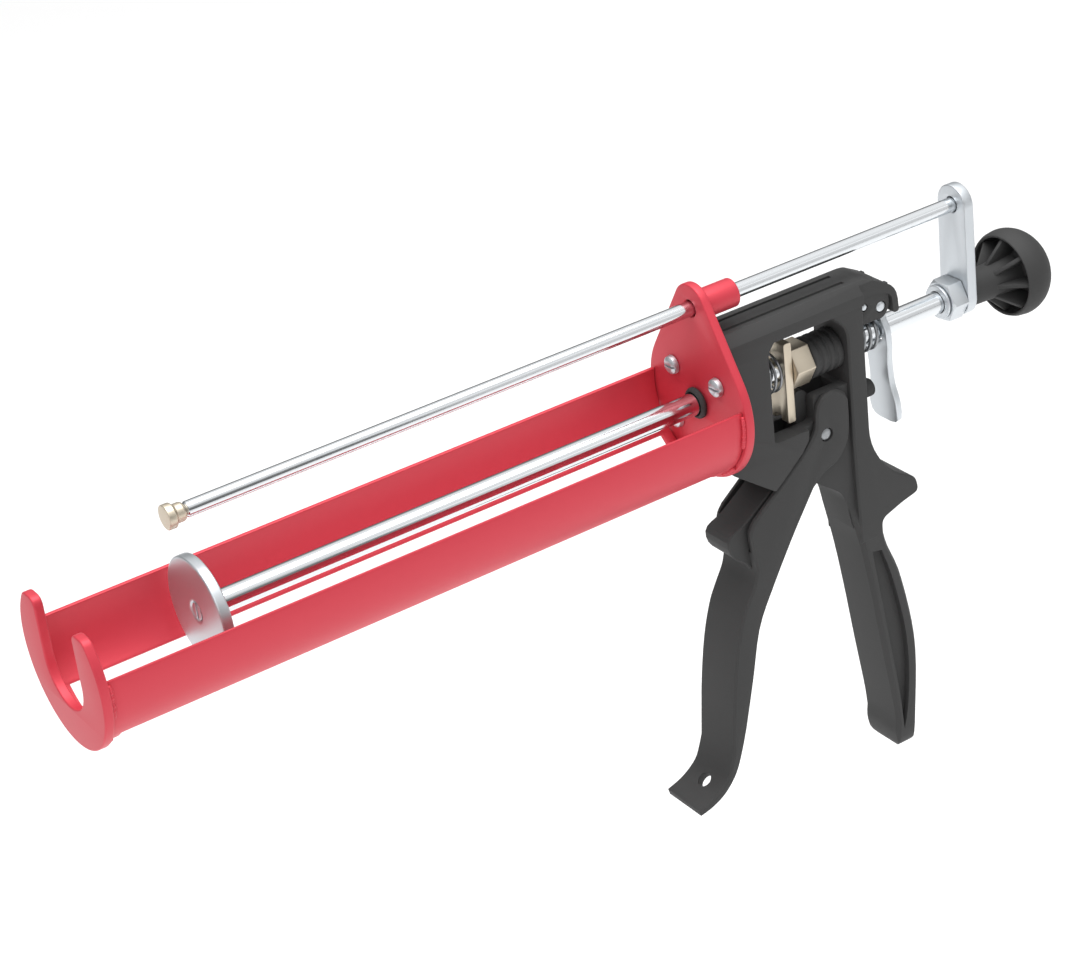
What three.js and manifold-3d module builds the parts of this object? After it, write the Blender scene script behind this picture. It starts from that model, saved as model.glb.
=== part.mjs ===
import * as THREE from 'three';
import { mergeVertices } from 'three/addons/utils/BufferGeometryUtils.js';
import Module from 'manifold-3d';

// Two-rod cartridge gun. Millimetres, +X towards the muzzle, +Y to the gun's left, +Z up.
// Every piece is laid out from the point where the main rod's axis meets the muzzle plate's
// outer face. The finished assembly is then moved so that the middle of the rear grip is the origin.

// ---- driving sizes --------------------------------------------------------------------
const CRADLE_R = 31;            // outer radius of the rolled cradle
const CRADLE_T = 1.6;           // its sheet thickness
const CRADLE_RISE = 6;          // how far its side walls stand above the rod axis
const CRADLE_LENGTH = 286.4;    // between the two end plates
const SLOT_HALF_ANGLE = 45;     // degrees of open floor each side of straight down
const SLOT_LAND = 5;            // full sheet left at each end of the open floor
const END_PLATE_T = 4;
const END_PLATE_R = CRADLE_R + 2; // both end plates stand a little proud of the cradle
const NOTCH_R = 15.5;           // half width of the nozzle notch
const NOTCH_DROP = 1.5;         // centre of the notch's round floor below the rod axis
const HORN_TOP = 22;            // height of the two horns beside the notch
const HORN_ROUND = 5;
const ROD_SPACING = 42.5;       // the thin rod runs this far above the thick one
const MAIN_ROD_R = 4.8;
const THIN_ROD_R = 3.2;
const EAR_R = 10.5;             // lobe of the back plate round the thin rod
const DISC_R = 22.2;            // large pusher
const DISC_T = 4.6;
const DISC_FRONT = -56;         // where the large pusher stands
const PLUNGER_R = 5;            // small pusher
const PLUNGER_LENGTH = 8;
const PLUNGER_FRONT = -50.5;
const STRAP_BEHIND = 59.7;      // from the handle body back to the plate that ties the two rods
const STRAP_T = 5;
const STRAP_HALF = 9.2;
const NUT_LENGTH = 8;
const KNOB_R = 19.6;
const BODY_HALF = 12.5;         // half width of the roof, front wall and rear column
const WEB_HALF = 9.2;           // half width of the web between the trigger's cheeks
const GRIP_HALF = 11.8;         // half width of the rear grip
const GRIP_BOTTOM = -208;
const ROOF_TOP = 29.5;
const BAY_TOP = 20;
const BAY_LENGTH = 42;
const FRONT_WALL_T = 24;
const COLUMN_T = 9;
const FLANGE_T = 4.5;           // flange behind the back plate
const CHEEK_T = 2.3;
const TRIGGER_HALF = WEB_HALF + 0.8 + CHEEK_T;
const STOP_HALF = 8.2;          // half width of the finger stop between the cheeks
const TRIGGER_WALL_T = 3.5;
const SLEEVE_R = 10.4;          // across the corners of the six-sided drive sleeve
const SCREW_Y = 15;
const SCREW_Z = 12.4;

// ---- clearances -----------------------------------------------------------------------
const GAP = 0.3;                // between pieces that are joined or rest on each other
const RUN = 0.4;                // radial room round a sliding rod
const ARM_GAP = 0.5;            // each side of the trigger's inner arm in its slot

// ---- stations along X -----------------------------------------------------------------
const CRADLE_FRONT = -END_PLATE_T - GAP;
const CRADLE_BACK = CRADLE_FRONT - CRADLE_LENGTH;
const BACK_PLATE = CRADLE_BACK - GAP;
const BODY_FRONT = BACK_PLATE - END_PLATE_T - GAP;
const BAY_FRONT = BODY_FRONT - FRONT_WALL_T;
const BAY_BACK = BAY_FRONT - BAY_LENGTH;
const BODY_BACK = BAY_BACK - COLUMN_T;
const PIVOT = { x: BAY_BACK + 14.4, z: -32, r: 2.9 };
// trigger's inner arm: centre and radius, from the pivot, of the nose that pushes the drive plate
const NOSE = { x: 7, z: 16, r: 4.3 };
const ARM_HALF = 3.8;
const DRIVE_PLATE_T = 4;
const DRIVE_PLATE = PIVOT.x + NOSE.x + NOSE.r + GAP + DRIVE_PLATE_T;
const SLEEVE_FRONT = DRIVE_PLATE - DRIVE_PLATE_T - GAP;
const SLEEVE_LENGTH = 9.6;
const BARREL_FRONT = SLEEVE_FRONT - SLEEVE_LENGTH - GAP;
const HANGER = { x: BODY_BACK - 12, z: 14, r: 2.4 };
const EAR_PIN = { x: BODY_BACK - 3.2, z: 16.6, r: 1.5 };
const PEG = { z: -26, r: 4, length: 10.6 };
const STRAP_FRONT = BODY_BACK - STRAP_BEHIND;
const GRIP_MIDDLE = { x: BODY_BACK - 10, z: -140 };

// release lever: how far its plate leans back from upright, its half widths and its ends
const LEVER = { lean: 4.5, t: 3, half: 5.8, eye: 8.4, waist: 6.8, tab: 9.2, top: 13, bottom: -45 };
const EAR_T = 2.2;
const PIN_HALF = LEVER.half + 0.6 + EAR_T + 0.2;

const SEG = { rod: 20, pin: 12, screw: 10, disc: 36, arc: 16 };
const RAD = Math.PI / 180;

const wasm = await Module();
wasm.setup();

// ---- helpers --------------------------------------------------------------------------
// Welds a geometry and turns it the right way out.
function outward(geometry) {
  const g = geometry.clone();
  g.deleteAttribute('normal');
  g.deleteAttribute('uv');
  const w = mergeVertices(g, 1e-4);
  const p = w.attributes.position;
  const idx = w.index.array;
  const keep = [];
  let volume = 0;
  const a = new THREE.Vector3();
  const b = new THREE.Vector3();
  const c = new THREE.Vector3();
  for (let i = 0; i < idx.length; i += 3) {
    const [i0, i1, i2] = [idx[i], idx[i + 1], idx[i + 2]];
    if (i0 !== i1 && i1 !== i2 && i2 !== i0) {
      keep.push(i0, i1, i2);
      a.fromBufferAttribute(p, i0);
      b.fromBufferAttribute(p, i1);
      c.fromBufferAttribute(p, i2);
      volume += a.dot(b.cross(c)) / 6;
    }
  }
  if (volume < 0) {
    for (let i = 0; i < keep.length; i += 3) {
      [keep[i], keep[i + 1]] = [keep[i + 1], keep[i]];
    }
  }
  w.setIndex(keep);
  w.computeVertexNormals();
  return w;
}

function toManifold(geometry) {
  const g = outward(geometry);
  return new wasm.Manifold(new wasm.Mesh({
    numProp: 3,
    vertProperties: new Float32Array(g.attributes.position.array),
    triVerts: new Uint32Array(g.index.array),
  }));
}

function fromManifold(solid) {
  const m = solid.getMesh();
  const out = new THREE.BufferGeometry();
  out.setAttribute('position', new THREE.BufferAttribute(new Float32Array(m.vertProperties), 3));
  out.setIndex(new THREE.BufferAttribute(new Uint32Array(m.triVerts), 1));
  out.computeVertexNormals();
  return out;
}

// Joins `parts` into one solid, then takes every piece of `cuts` away.
function combine(parts, cuts = []) {
  let solid = toManifold(parts[0]);
  for (const g of parts.slice(1)) {
    solid = solid.add(toManifold(g));
  }
  for (const g of cuts) {
    solid = solid.subtract(toManifold(g));
  }
  return fromManifold(solid);
}

// Round bar along X between two stations.
function barX(x0, x1, r, y = 0, z = 0, segments = SEG.rod) {
  const g = new THREE.CylinderGeometry(r, r, Math.abs(x1 - x0), segments);
  g.rotateZ(Math.PI / 2);
  g.translate((x0 + x1) / 2, y, z);
  return g;
}

// Round bar along Y, centred on the middle plane.
function barY(half, r, x, z, segments = SEG.pin) {
  const g = new THREE.CylinderGeometry(r, r, 2 * half, segments);
  g.translate(x, 0, z);
  return g;
}

// Six-sided bar along X with two corners pointing sideways.
function hexX(x0, x1, r) {
  const g = barX(x0, x1, r, 0, 0, 6);
  g.rotateX(Math.PI / 2);
  return g;
}

function box(x0, x1, y0, y1, z0, z1) {
  const g = new THREE.BoxGeometry(Math.abs(x1 - x0), Math.abs(y1 - y0), Math.abs(z1 - z0));
  g.translate((x0 + x1) / 2, (y0 + y1) / 2, (z0 + z1) / 2);
  return g;
}

// Solid turned about an X-parallel axis. `profile` is [station, radius] pairs from axis to axis.
function turnX(profile, y = 0, z = 0, segments = SEG.disc) {
  const g = new THREE.LatheGeometry(profile.map(([x, r]) => new THREE.Vector2(r, x)), segments);
  g.rotateZ(-Math.PI / 2);
  g.translate(0, y, z);
  return outward(g);
}

function extrude(shape, depth, bevel, curveSegments) {
  const g = new THREE.ExtrudeGeometry(shape, {
    depth: depth - 2 * bevel,
    bevelEnabled: bevel > 0,
    bevelThickness: bevel,
    bevelSize: bevel,
    bevelOffset: -bevel,
    bevelSegments: 1,
    curveSegments,
  });
  g.translate(0, 0, bevel);
  return g;
}

// Plate standing across the gun: outline in Y and Z, front face at x0.
function plateX(shape, x0, thickness, bevel = 0, curveSegments = SEG.arc) {
  const g = extrude(shape, thickness, bevel, curveSegments);
  g.applyMatrix4(new THREE.Matrix4().set(
    0, 0, 1, x0 - thickness,
    1, 0, 0, 0,
    0, 1, 0, 0,
    0, 0, 0, 1,
  ));
  return g;
}

// Plate standing along the gun: outline in X and Z, between two Y positions.
function plateY(shape, y0, y1, bevel = 0, curveSegments = 4) {
  const g = extrude(shape, y1 - y0, bevel, curveSegments);
  g.rotateX(Math.PI / 2);
  g.translate(0, y1, 0);
  return g;
}

// Closed outline through [u, v] points. A third number rounds that corner.
function outline(points) {
  const s = new THREE.Shape();
  const n = points.length;
  for (let i = 0; i < n; i += 1) {
    const a = points[(i + n - 1) % n];
    const b = points[i];
    const c = points[(i + 1) % n];
    const before = Math.hypot(a[0] - b[0], a[1] - b[1]);
    const after = Math.hypot(c[0] - b[0], c[1] - b[1]);
    const cut = Math.min(b[2] || 0, before * 0.49, after * 0.49);
    const startX = b[0] + (a[0] - b[0]) * cut / before;
    const startY = b[1] + (a[1] - b[1]) * cut / before;
    if (i === 0) {
      s.moveTo(startX, startY);
    } else {
      s.lineTo(startX, startY);
    }
    if (cut > 0) {
      const endX = b[0] + (c[0] - b[0]) * cut / after;
      const endY = b[1] + (c[1] - b[1]) * cut / after;
      s.quadraticCurveTo(b[0], b[1], endX, endY);
    }
  }
  s.closePath();
  return s;
}

// The same points measured from a datum.
function from(datum, points) {
  return points.map(([u, v, r]) => [datum.x + u, datum.z + v, r]);
}

function circle(r) {
  const s = new THREE.Shape();
  s.absarc(0, 0, r, 0, Math.PI * 2, false);
  return s;
}

// Coil spring along X round the main rod.
class Helix extends THREE.Curve {
  constructor(x0, x1, radius, turns) {
    super();
    this.x0 = x0;
    this.x1 = x1;
    this.radius = radius;
    this.turns = turns;
  }

  getPoint(t, target = new THREE.Vector3()) {
    const a = t * this.turns * Math.PI * 2;
    const x = this.x0 + (this.x1 - this.x0) * t;
    return target.set(x, this.radius * Math.cos(a), this.radius * Math.sin(a));
  }
}

function coilX(x0, x1, radius, wire, turns) {
  const g = new THREE.ExtrudeGeometry(circle(wire), {
    steps: Math.round(turns * 12),
    curveSegments: 3,
    extrudePath: new Helix(x0 - wire, x1 + wire, radius, turns),
    bevelEnabled: false,
  });
  return outward(g);
}

// ---- cradle and end plates ------------------------------------------------------------
function cradle() {
  const rise = Math.asin(CRADLE_RISE / CRADLE_R);
  const s = new THREE.Shape();
  s.absarc(0, 0, CRADLE_R, rise, Math.PI - rise, true);
  s.absarc(0, 0, CRADLE_R - CRADLE_T, Math.PI - rise, rise, false);
  s.closePath();
  const sheet = plateX(s, CRADLE_FRONT, CRADLE_LENGTH, 0, 32);
  const half = Math.sin(SLOT_HALF_ANGLE * RAD) * CRADLE_R;
  const floor = box(CRADLE_FRONT - SLOT_LAND, CRADLE_BACK + SLOT_LAND, -half, half, -CRADLE_R - 5, 0);
  return combine([sheet], [floor]);
}

function frontPlate() {
  const shoulder = Math.asin((HORN_TOP - HORN_ROUND) / END_PLATE_R);
  const hornOut = Math.sqrt(END_PLATE_R ** 2 - HORN_TOP ** 2);
  const low = HORN_TOP - HORN_ROUND;
  const s = new THREE.Shape();
  s.absarc(0, 0, END_PLATE_R, shoulder, Math.PI - shoulder, true);
  s.quadraticCurveTo(-hornOut, HORN_TOP, -hornOut + HORN_ROUND * 0.6, HORN_TOP);
  s.quadraticCurveTo(-NOTCH_R, HORN_TOP, -NOTCH_R, low);
  s.lineTo(-NOTCH_R, -NOTCH_DROP);
  s.absarc(0, -NOTCH_DROP, NOTCH_R, Math.PI, Math.PI * 2, false);
  s.lineTo(NOTCH_R, low);
  s.quadraticCurveTo(NOTCH_R, HORN_TOP, hornOut - HORN_ROUND * 0.6, HORN_TOP);
  s.quadraticCurveTo(hornOut, HORN_TOP, END_PLATE_R * Math.cos(shoulder), low);
  return outward(plateX(s, 0, END_PLATE_T, 0.6, 12));
}

// Big circle round the main rod, small circle round the thin rod, and their outer tangents.
function teardrop(bigR, smallR, distance) {
  const lean = Math.asin((bigR - smallR) / distance);
  const s = new THREE.Shape();
  s.absarc(0, distance, smallR, lean, Math.PI - lean, false);
  s.absarc(0, 0, bigR, Math.PI - lean, Math.PI * 2 + lean, false);
  s.closePath();
  return s;
}

function screwPlaces() {
  const places = [];
  for (const side of [1, -1]) {
    for (const level of [1, -1]) {
      places.push([side * SCREW_Y, level * SCREW_Z]);
    }
  }
  return places;
}

function backPlate() {
  const plate = plateX(teardrop(END_PLATE_R, EAR_R, ROD_SPACING), BACK_PLATE, END_PLATE_T, 0.6, 14);
  const front = BACK_PLATE + 5;
  const rear = BACK_PLATE - END_PLATE_T - 5;
  const holes = screwPlaces().map(([y, z]) => barX(front, rear, 2.3, y, z, SEG.screw));
  holes.push(barX(front, rear, MAIN_ROD_R + RUN));
  holes.push(barX(front, rear, THIN_ROD_R + RUN, 0, ROD_SPACING));
  return combine([plate], holes);
}

// Welded tube behind the back plate's ear, guiding the thin rod.
function rodGuideBush() {
  const length = 17;
  const tube = barX(BODY_FRONT, BODY_FRONT - length, 6.2, 0, ROD_SPACING, 24);
  const bore = barX(BODY_FRONT + 5, BODY_FRONT - length - 5, THIN_ROD_R + RUN, 0, ROD_SPACING);
  return combine([tube], [bore]);
}

// Ring round the main rod on the face of the back plate.
function rodCollar() {
  const x = BACK_PLATE + GAP;
  const ring = turnX([[x, 0], [x, 6.8], [x + 1.4, 6.8], [x + 2.2, 6.2], [x + 2.2, 0]], 0, 0, 24);
  return combine([ring], [barX(x - 5, x + 8, MAIN_ROD_R + RUN)]);
}

function plateScrew(y, z) {
  const x = BACK_PLATE + GAP;
  const head = [[x, 0], [x, 4.2], [x + 1.8, 3.8], [x + 2.8, 2.4], [x + 2.8, 0]];
  const shank = barX(x + 0.5, BODY_FRONT - FLANGE_T + 1, 2, y, z, SEG.screw);
  const slot = box(x + 1.7, x + 4, y - 5, y + 5, z - 0.5, z + 0.5);
  return combine([turnX(head, y, z, 16), shank], [slot]);
}

// ---- handle body ----------------------------------------------------------------------
// Flange that the four screws clamp against the back plate.
function flange() {
  const [y, z] = [SCREW_Y + 4.4, SCREW_Z + 4.4];
  const round = 6;
  const shape = outline([[y, z, round], [-y, z, round], [-y, -z, round], [y, -z, round]]);
  return plateX(shape, BODY_FRONT, FLANGE_T, 0, 3);
}

function roof() {
  return plateY(outline([
    [BODY_FRONT, BAY_TOP],
    [BODY_FRONT, ROOF_TOP],
    [BODY_BACK, ROOF_TOP],
    [BODY_BACK, BAY_TOP],
  ]), -BODY_HALF, BODY_HALF);
}

// Curved lip that hangs down behind the column and keeps the release lever in.
function rearLip() {
  return plateY(outline([
    [BODY_BACK + 3, BAY_TOP + 0.5],
    [BODY_BACK + 3, ROOF_TOP],
    [BODY_BACK - 5, ROOF_TOP, 6],
    [BODY_BACK - 20, 21.5, 7],
    [BODY_BACK - 21, 9.5, 1.7],
    [BODY_BACK - 17.6, 9.5, 1.5],
    [BODY_BACK - 17.4, 18.6, 3],
    [BODY_BACK - 8, 22, 2],
  ]), -9.6, 9.6);
}

function frontWall() {
  return plateY(outline([
    [BODY_FRONT, BAY_TOP + 1],
    [BODY_FRONT, -31, 3],
    [PIVOT.x + 29, PIVOT.z - 15.9, 1],
    [PIVOT.x + 23.2, PIVOT.z - 11.5],
    [PIVOT.x + 13.8, PIVOT.z - 3.6],
    [PIVOT.x + 9.6, PIVOT.z + 1.5, 2],
    [PIVOT.x + 9.6, -26],
    [BAY_FRONT, -26, 2],
    [BAY_FRONT, BAY_TOP - 4, 2],
    [BAY_FRONT - 4, BAY_TOP + 1],
  ]), -BODY_HALF, BODY_HALF);
}

// Rear column of the bay, running down into the spur over the thumb web.
function column() {
  return plateY(outline([
    [BAY_BACK + 9, BAY_TOP + 1],
    [BAY_BACK, BAY_TOP - 8, 5],
    [BAY_BACK, -46, 2],
    [BODY_BACK + 8, -92],
    [BODY_BACK - 4.4, -92],
    [BODY_BACK - 4.4, -84.5, 3],
    [BODY_BACK - 16.6, -80.4, 3],
    [BODY_BACK - 25.5, -78.4, 3],
    [BODY_BACK - 24, -71, 3],
    [BODY_BACK - 9, -62, 8],
    [BODY_BACK, -46, 8],
    [BODY_BACK, BAY_TOP + 1],
  ]), -BODY_HALF + 0.6, BODY_HALF - 0.6, 0.8);
}

// Ears that carry the lever's hanger pin, one each side of the lever.
function ears() {
  const shape = outline([
    [BODY_BACK + 2, BAY_TOP + 4],
    [BODY_BACK + 2, 9],
    [BODY_BACK - 8, 9, 3],
    [HANGER.x - 1, HANGER.z - 5.5, 4],
    [HANGER.x - 4.6, HANGER.z - 1, 4],
    [HANGER.x - 4.2, BAY_TOP + 4],
  ]);
  const inner = LEVER.half + 0.6;
  return [plateY(shape, inner, inner + EAR_T), plateY(shape, -inner - EAR_T, -inner)];
}

// Lower web between the trigger's cheeks: bay floor, pivot boss and the run back to the grip.
function lowerWeb() {
  return plateY(outline([
    [BAY_FRONT + 4, -20],
    [BAY_FRONT + 4, -34],
    [PIVOT.x + 24.6, PIVOT.z - 12.9],
    [PIVOT.x + 20, PIVOT.z - 11.2, 2],
    [PIVOT.x + 13, PIVOT.z - 12, 4],
    [PIVOT.x + 6, PIVOT.z - 22, 3],
    [PIVOT.x - 9, PIVOT.z - 33, 5],
    [PIVOT.x - 13, PIVOT.z - 52],
    [BODY_BACK - 5, -92],
    [BODY_BACK - 5, -62],
    [BODY_BACK + 2, -44],
    [BODY_BACK + 2, -14],
    [PIVOT.x + 4, -14, 2],
    [PIVOT.x + 4, -26, 3],
    [BAY_FRONT, -26],
    [BAY_FRONT, -20],
  ]), -WEB_HALF, WEB_HALF);
}

// Points measured back from the body's rear face, as vectors for a spline.
function offBack(points) {
  return points.map(([u, v]) => new THREE.Vector2(BODY_BACK + u, v));
}

// Side view of the rear grip, down its front edge and back up its rear edge.
function gripShape() {
  const s = new THREE.Shape();
  s.moveTo(BODY_BACK + 13, -70);
  s.splineThru(offBack([[7, -97.5], [2.6, -124], [-1.2, -151], [-5.4, -179], [-6.6, -191]]));
  s.splineThru(offBack([[-6.2, -198], [-8.4, -205.6], [-12.6, GRIP_BOTTOM], [-16.6, -203], [-18.2, -190]]));
  s.splineThru(offBack([[-20, -163], [-18.6, -142], [-13, -114.7], [-6.6, -97.5], [-4.2, -85]]));
  s.lineTo(BODY_BACK - 4, -68);
  s.closePath();
  return s;
}

// The grip with its lower end rounded from side to side as well.
function grip() {
  const side = plateY(gripShape(), -GRIP_HALF, GRIP_HALF, 1.8, 3);
  const top = -62;
  const front = plateX(outline([
    [WEB_HALF - 0.2, top],
    [-WEB_HALF + 0.2, top],
    [-WEB_HALF + 0.2, top - 10],
    [-GRIP_HALF, top - 22],
    [-GRIP_HALF, GRIP_BOTTOM, 13],
    [GRIP_HALF, GRIP_BOTTOM, 13],
    [GRIP_HALF, top - 22],
    [WEB_HALF - 0.2, top - 10],
  ]), BODY_BACK + 20, 50, 0, 6);
  return fromManifold(toManifold(side).intersect(toManifold(front)));
}

// A long shallow pocket each side leaves the grip an I-section with raised rims.
function gripPockets() {
  const depth = 3;
  const s = new THREE.Shape();
  s.moveTo(BODY_BACK + 2.6, -98);
  s.splineThru(offBack([[-1.2, -124], [-5, -151], [-8.6, -178], [-10, -196]]));
  s.splineThru(offBack([[-12.8, -184], [-14.4, -163], [-13.2, -142], [-8.2, -117], [-2.6, -99]]));
  s.closePath();
  return [
    plateY(s, GRIP_HALF - depth, GRIP_HALF + 5, 0, 3),
    plateY(s, -GRIP_HALF - 5, depth - GRIP_HALF, 0, 3),
  ];
}

// Bevelled shoulders and two long grooves along the roof.
function roofCuts() {
  const cuts = [];
  for (const side of [1, -1]) {
    const shoulder = new THREE.Shape();
    shoulder.moveTo(side * 8.3, ROOF_TOP);
    shoulder.lineTo(side * (BODY_HALF + 1), 23.9);
    shoulder.lineTo(side * (BODY_HALF + 1), ROOF_TOP + 2);
    shoulder.lineTo(side * 8.3, ROOF_TOP + 2);
    shoulder.closePath();
    cuts.push(plateX(shoulder, BODY_FRONT + 5, BODY_FRONT + 10 - (BODY_BACK - 30)));
    const [y0, y1] = side > 0 ? [3.2, 5.2] : [-5.2, -3.2];
    cuts.push(box(BODY_FRONT - 8, BODY_BACK + 4, y0, y1, ROOF_TOP - 0.9, ROOF_TOP + 2));
  }
  return cuts;
}

function handleBody() {
  const slot = ARM_HALF + ARM_GAP;
  const behind = BODY_FRONT - FLANGE_T - 4;
  const cuts = screwPlaces().map(([y, z]) => barX(BODY_FRONT + 2, behind, 2.3, y, z, SEG.screw));
  cuts.push(barX(BODY_FRONT + 5, BAY_FRONT - 5, MAIN_ROD_R + RUN + 0.2));
  cuts.push(barX(BAY_BACK + 5, BODY_BACK - 5, MAIN_ROD_R + RUN + 0.2));
  cuts.push(barX(BODY_BACK + 2, BODY_BACK - 5, 9.4, 0, 0, 24));
  cuts.push(armSlot(slot));
  cuts.push(barY(BODY_HALF + 5, PIVOT.r + 0.3, PIVOT.x, PIVOT.z));
  cuts.push(barY(BODY_HALF + 5, HANGER.r + 0.3, HANGER.x, HANGER.z));
  cuts.push(barY(BODY_HALF + 5, EAR_PIN.r + 0.3, EAR_PIN.x, EAR_PIN.z));
  const solids = [flange(), roof(), frontWall(), column(), lowerWeb(), grip(), rearLip(), ...ears()];
  return combine(solids, [...cuts, ...roofCuts(), ...gripPockets()]);
}

// Room for the trigger's inner arm through its whole swing.
function armSlot(half) {
  return plateY(outline([
    [PIVOT.x + 22, -8],
    [PIVOT.x + 22, PIVOT.z - 6, 3],
    [PIVOT.x + 48, PIVOT.z - 50],
    [PIVOT.x + 9, PIVOT.z - 50],
    [PIVOT.x - 4, PIVOT.z - 24],
    [PIVOT.x - 11, PIVOT.z - 14],
    [PIVOT.x - 11, -8],
  ]), -half, half);
}

// Fixed, ringed tube round the main rod between the drive sleeve and the rear column.
function rodBarrel() {
  const back = BAY_BACK + GAP;
  const profile = [[BARREL_FRONT, 0], [BARREL_FRONT, 8.2], [BARREL_FRONT - 1, 9.2]];
  for (let x = BARREL_FRONT - 3; x > back + 3; x -= 4) {
    profile.push([x, 9.2], [x - 0.5, 8.5], [x - 1.5, 8.5], [x - 2, 9.2]);
  }
  profile.push([back, 9.2], [back, 0]);
  const tube = turnX(profile, 0, 0, 24);
  return combine([tube], [barX(BARREL_FRONT + 5, back - 5, MAIN_ROD_R + RUN + 0.2)]);
}

// ---- rods and what is fixed to them ---------------------------------------------------
const KNOB_FRONT = STRAP_FRONT - STRAP_T - GAP;
const MAIN_ROD_FRONT = DISC_FRONT - DISC_T - GAP;
const MAIN_ROD_BACK = KNOB_FRONT - 17;

function mainRod() {
  return outward(barX(MAIN_ROD_FRONT, MAIN_ROD_BACK, MAIN_ROD_R));
}

function thinRod() {
  const front = PLUNGER_FRONT - PLUNGER_LENGTH - GAP;
  return outward(barX(front, STRAP_FRONT - STRAP_T + GAP, THIN_ROD_R, 0, ROD_SPACING));
}

function pusherDisc() {
  const back = DISC_FRONT - DISC_T;
  const disc = turnX([
    [DISC_FRONT, 0],
    [DISC_FRONT, DISC_R - 1.2],
    [DISC_FRONT - 1.2, DISC_R],
    [back, DISC_R],
    [back, DISC_R - 1.6],
    [back + 2, DISC_R - 3],
    [back + 2, 8],
    [back, 7],
    [back, 0],
  ]);
  const sink = turnX([
    [DISC_FRONT + 1, 0],
    [DISC_FRONT + 1, 5.2],
    [DISC_FRONT - 2, 2.4],
    [back - 2, 2.4],
    [back - 2, 0],
  ], 0, 0, 20);
  return combine([disc], [sink]);
}

// Countersunk screw that holds the disc to the rod's end.
function discScrew() {
  const face = DISC_FRONT - 0.3;
  const head = turnX([
    [face, 0],
    [face, 3.7],
    [DISC_FRONT - 2.2, 2],
    [DISC_FRONT - DISC_T + 0.4, 2],
    [DISC_FRONT - DISC_T + 0.4, 0],
  ], 0, 0, 20);
  return combine([head], [box(face - 0.9, face + 2, -0.6, 0.6, -6, 6)]);
}

function smallPlunger() {
  const back = PLUNGER_FRONT - PLUNGER_LENGTH;
  return turnX([
    [PLUNGER_FRONT, 0],
    [PLUNGER_FRONT, PLUNGER_R - 0.5],
    [PLUNGER_FRONT - 0.5, PLUNGER_R],
    [PLUNGER_FRONT - 3.2, PLUNGER_R],
    [PLUNGER_FRONT - 4, PLUNGER_R - 1.2],
    [back + 1, PLUNGER_R - 1.2],
    [back, PLUNGER_R - 1.8],
    [back, 0],
  ], 0, ROD_SPACING, 24);
}

// Strap that ties both rods together at the rear.
function rearStrap() {
  const strap = plateX(teardrop(STRAP_HALF, STRAP_HALF - 0.4, ROD_SPACING), STRAP_FRONT, STRAP_T, 0.5, 7);
  const front = STRAP_FRONT + 5;
  const rear = STRAP_FRONT - STRAP_T - 5;
  return combine([strap], [
    barX(front, rear, MAIN_ROD_R + GAP),
    barX(front, rear, THIN_ROD_R + GAP, 0, ROD_SPACING),
  ]);
}

const NUT_FRONT = STRAP_FRONT + GAP + NUT_LENGTH;

function strapNut() {
  const cone = turnX([
    [NUT_FRONT, 0],
    [NUT_FRONT, 8.4],
    [NUT_FRONT - 1.2, 9.9],
    [NUT_FRONT - NUT_LENGTH, 9.9],
    [NUT_FRONT - NUT_LENGTH, 0],
  ], 0, 0, 24);
  const hex = toManifold(hexX(NUT_FRONT, NUT_FRONT - NUT_LENGTH, 9.8));
  const body = hex.intersect(toManifold(cone));
  const bore = toManifold(barX(NUT_FRONT + 5, NUT_FRONT - NUT_LENGTH - 5, MAIN_ROD_R + GAP));
  return fromManifold(body.subtract(bore));
}

function nutWasher() {
  const x = NUT_FRONT + GAP;
  return combine([barX(x, x + 1.4, 7.6, 0, 0, 24)], [barX(x - 5, x + 8, MAIN_ROD_R + GAP)]);
}

// Riveted end of the thin rod behind the strap.
function thinRodRivet() {
  const x = STRAP_FRONT - STRAP_T - GAP;
  return turnX([[x, 0], [x, 5.2], [x - 1.4, 4.8], [x - 2.6, 2.8], [x - 2.8, 0]], 0, ROD_SPACING, 20);
}

// Mushroom knob: hollow underside with stiffening fins round the stem.
function pullKnob() {
  const x = KNOB_FRONT;
  const shell = turnX([
    [MAIN_ROD_BACK - GAP, 0],
    [MAIN_ROD_BACK - GAP, MAIN_ROD_R + GAP],
    [x, MAIN_ROD_R + GAP],
    [x, 7.4],
    [x - 15, 7.9],
    [x - 27, 9],
    [x - 29.5, 12],
    [x - 28.5, 15.5],
    [x - 24, 17],
    [x - 21.6, 17.3],
    [x - 21.4, 18.4],
    [x - 23.5, KNOB_R - 0.3],
    [x - 27, KNOB_R],
    [x - 31.5, KNOB_R - 1],
    [x - 36.5, KNOB_R - 4.4],
    [x - 40.6, KNOB_R - 10],
    [x - 42.2, 4.6],
    [x - 42.6, 0],
  ], 0, 0, 32);
  const fins = [];
  for (let i = 0; i < 8; i += 1) {
    const fin = plateY(outline([
      [x - 12, 7.4],
      [x - 23, 16.8],
      [x - 30, 16.8],
      [x - 30, 7.4],
    ]), -0.9, 0.9);
    fin.rotateX(i * Math.PI / 4);
    fins.push(fin);
  }
  return combine([shell, ...fins]);
}

// ---- trigger --------------------------------------------------------------------------
// Points measured from the trigger's pivot, as vectors for a spline.
function offPivot(points, back = 0) {
  return points.map(([u, v]) => new THREE.Vector2(PIVOT.x + u - back, PIVOT.z + v));
}

// Front edge of the cheeks beside the finger stop, and of the finger part below it.
const CHEEK_FRONT = [[22.6, -12.3], [32.3, -19.6], [40.5, -26]];
const FINGER_FRONT = [[43, -55], [47.6, -63.3], [51.3, -71], [55.6, -86], [59.2, -108], [61.8, -134]];

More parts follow.
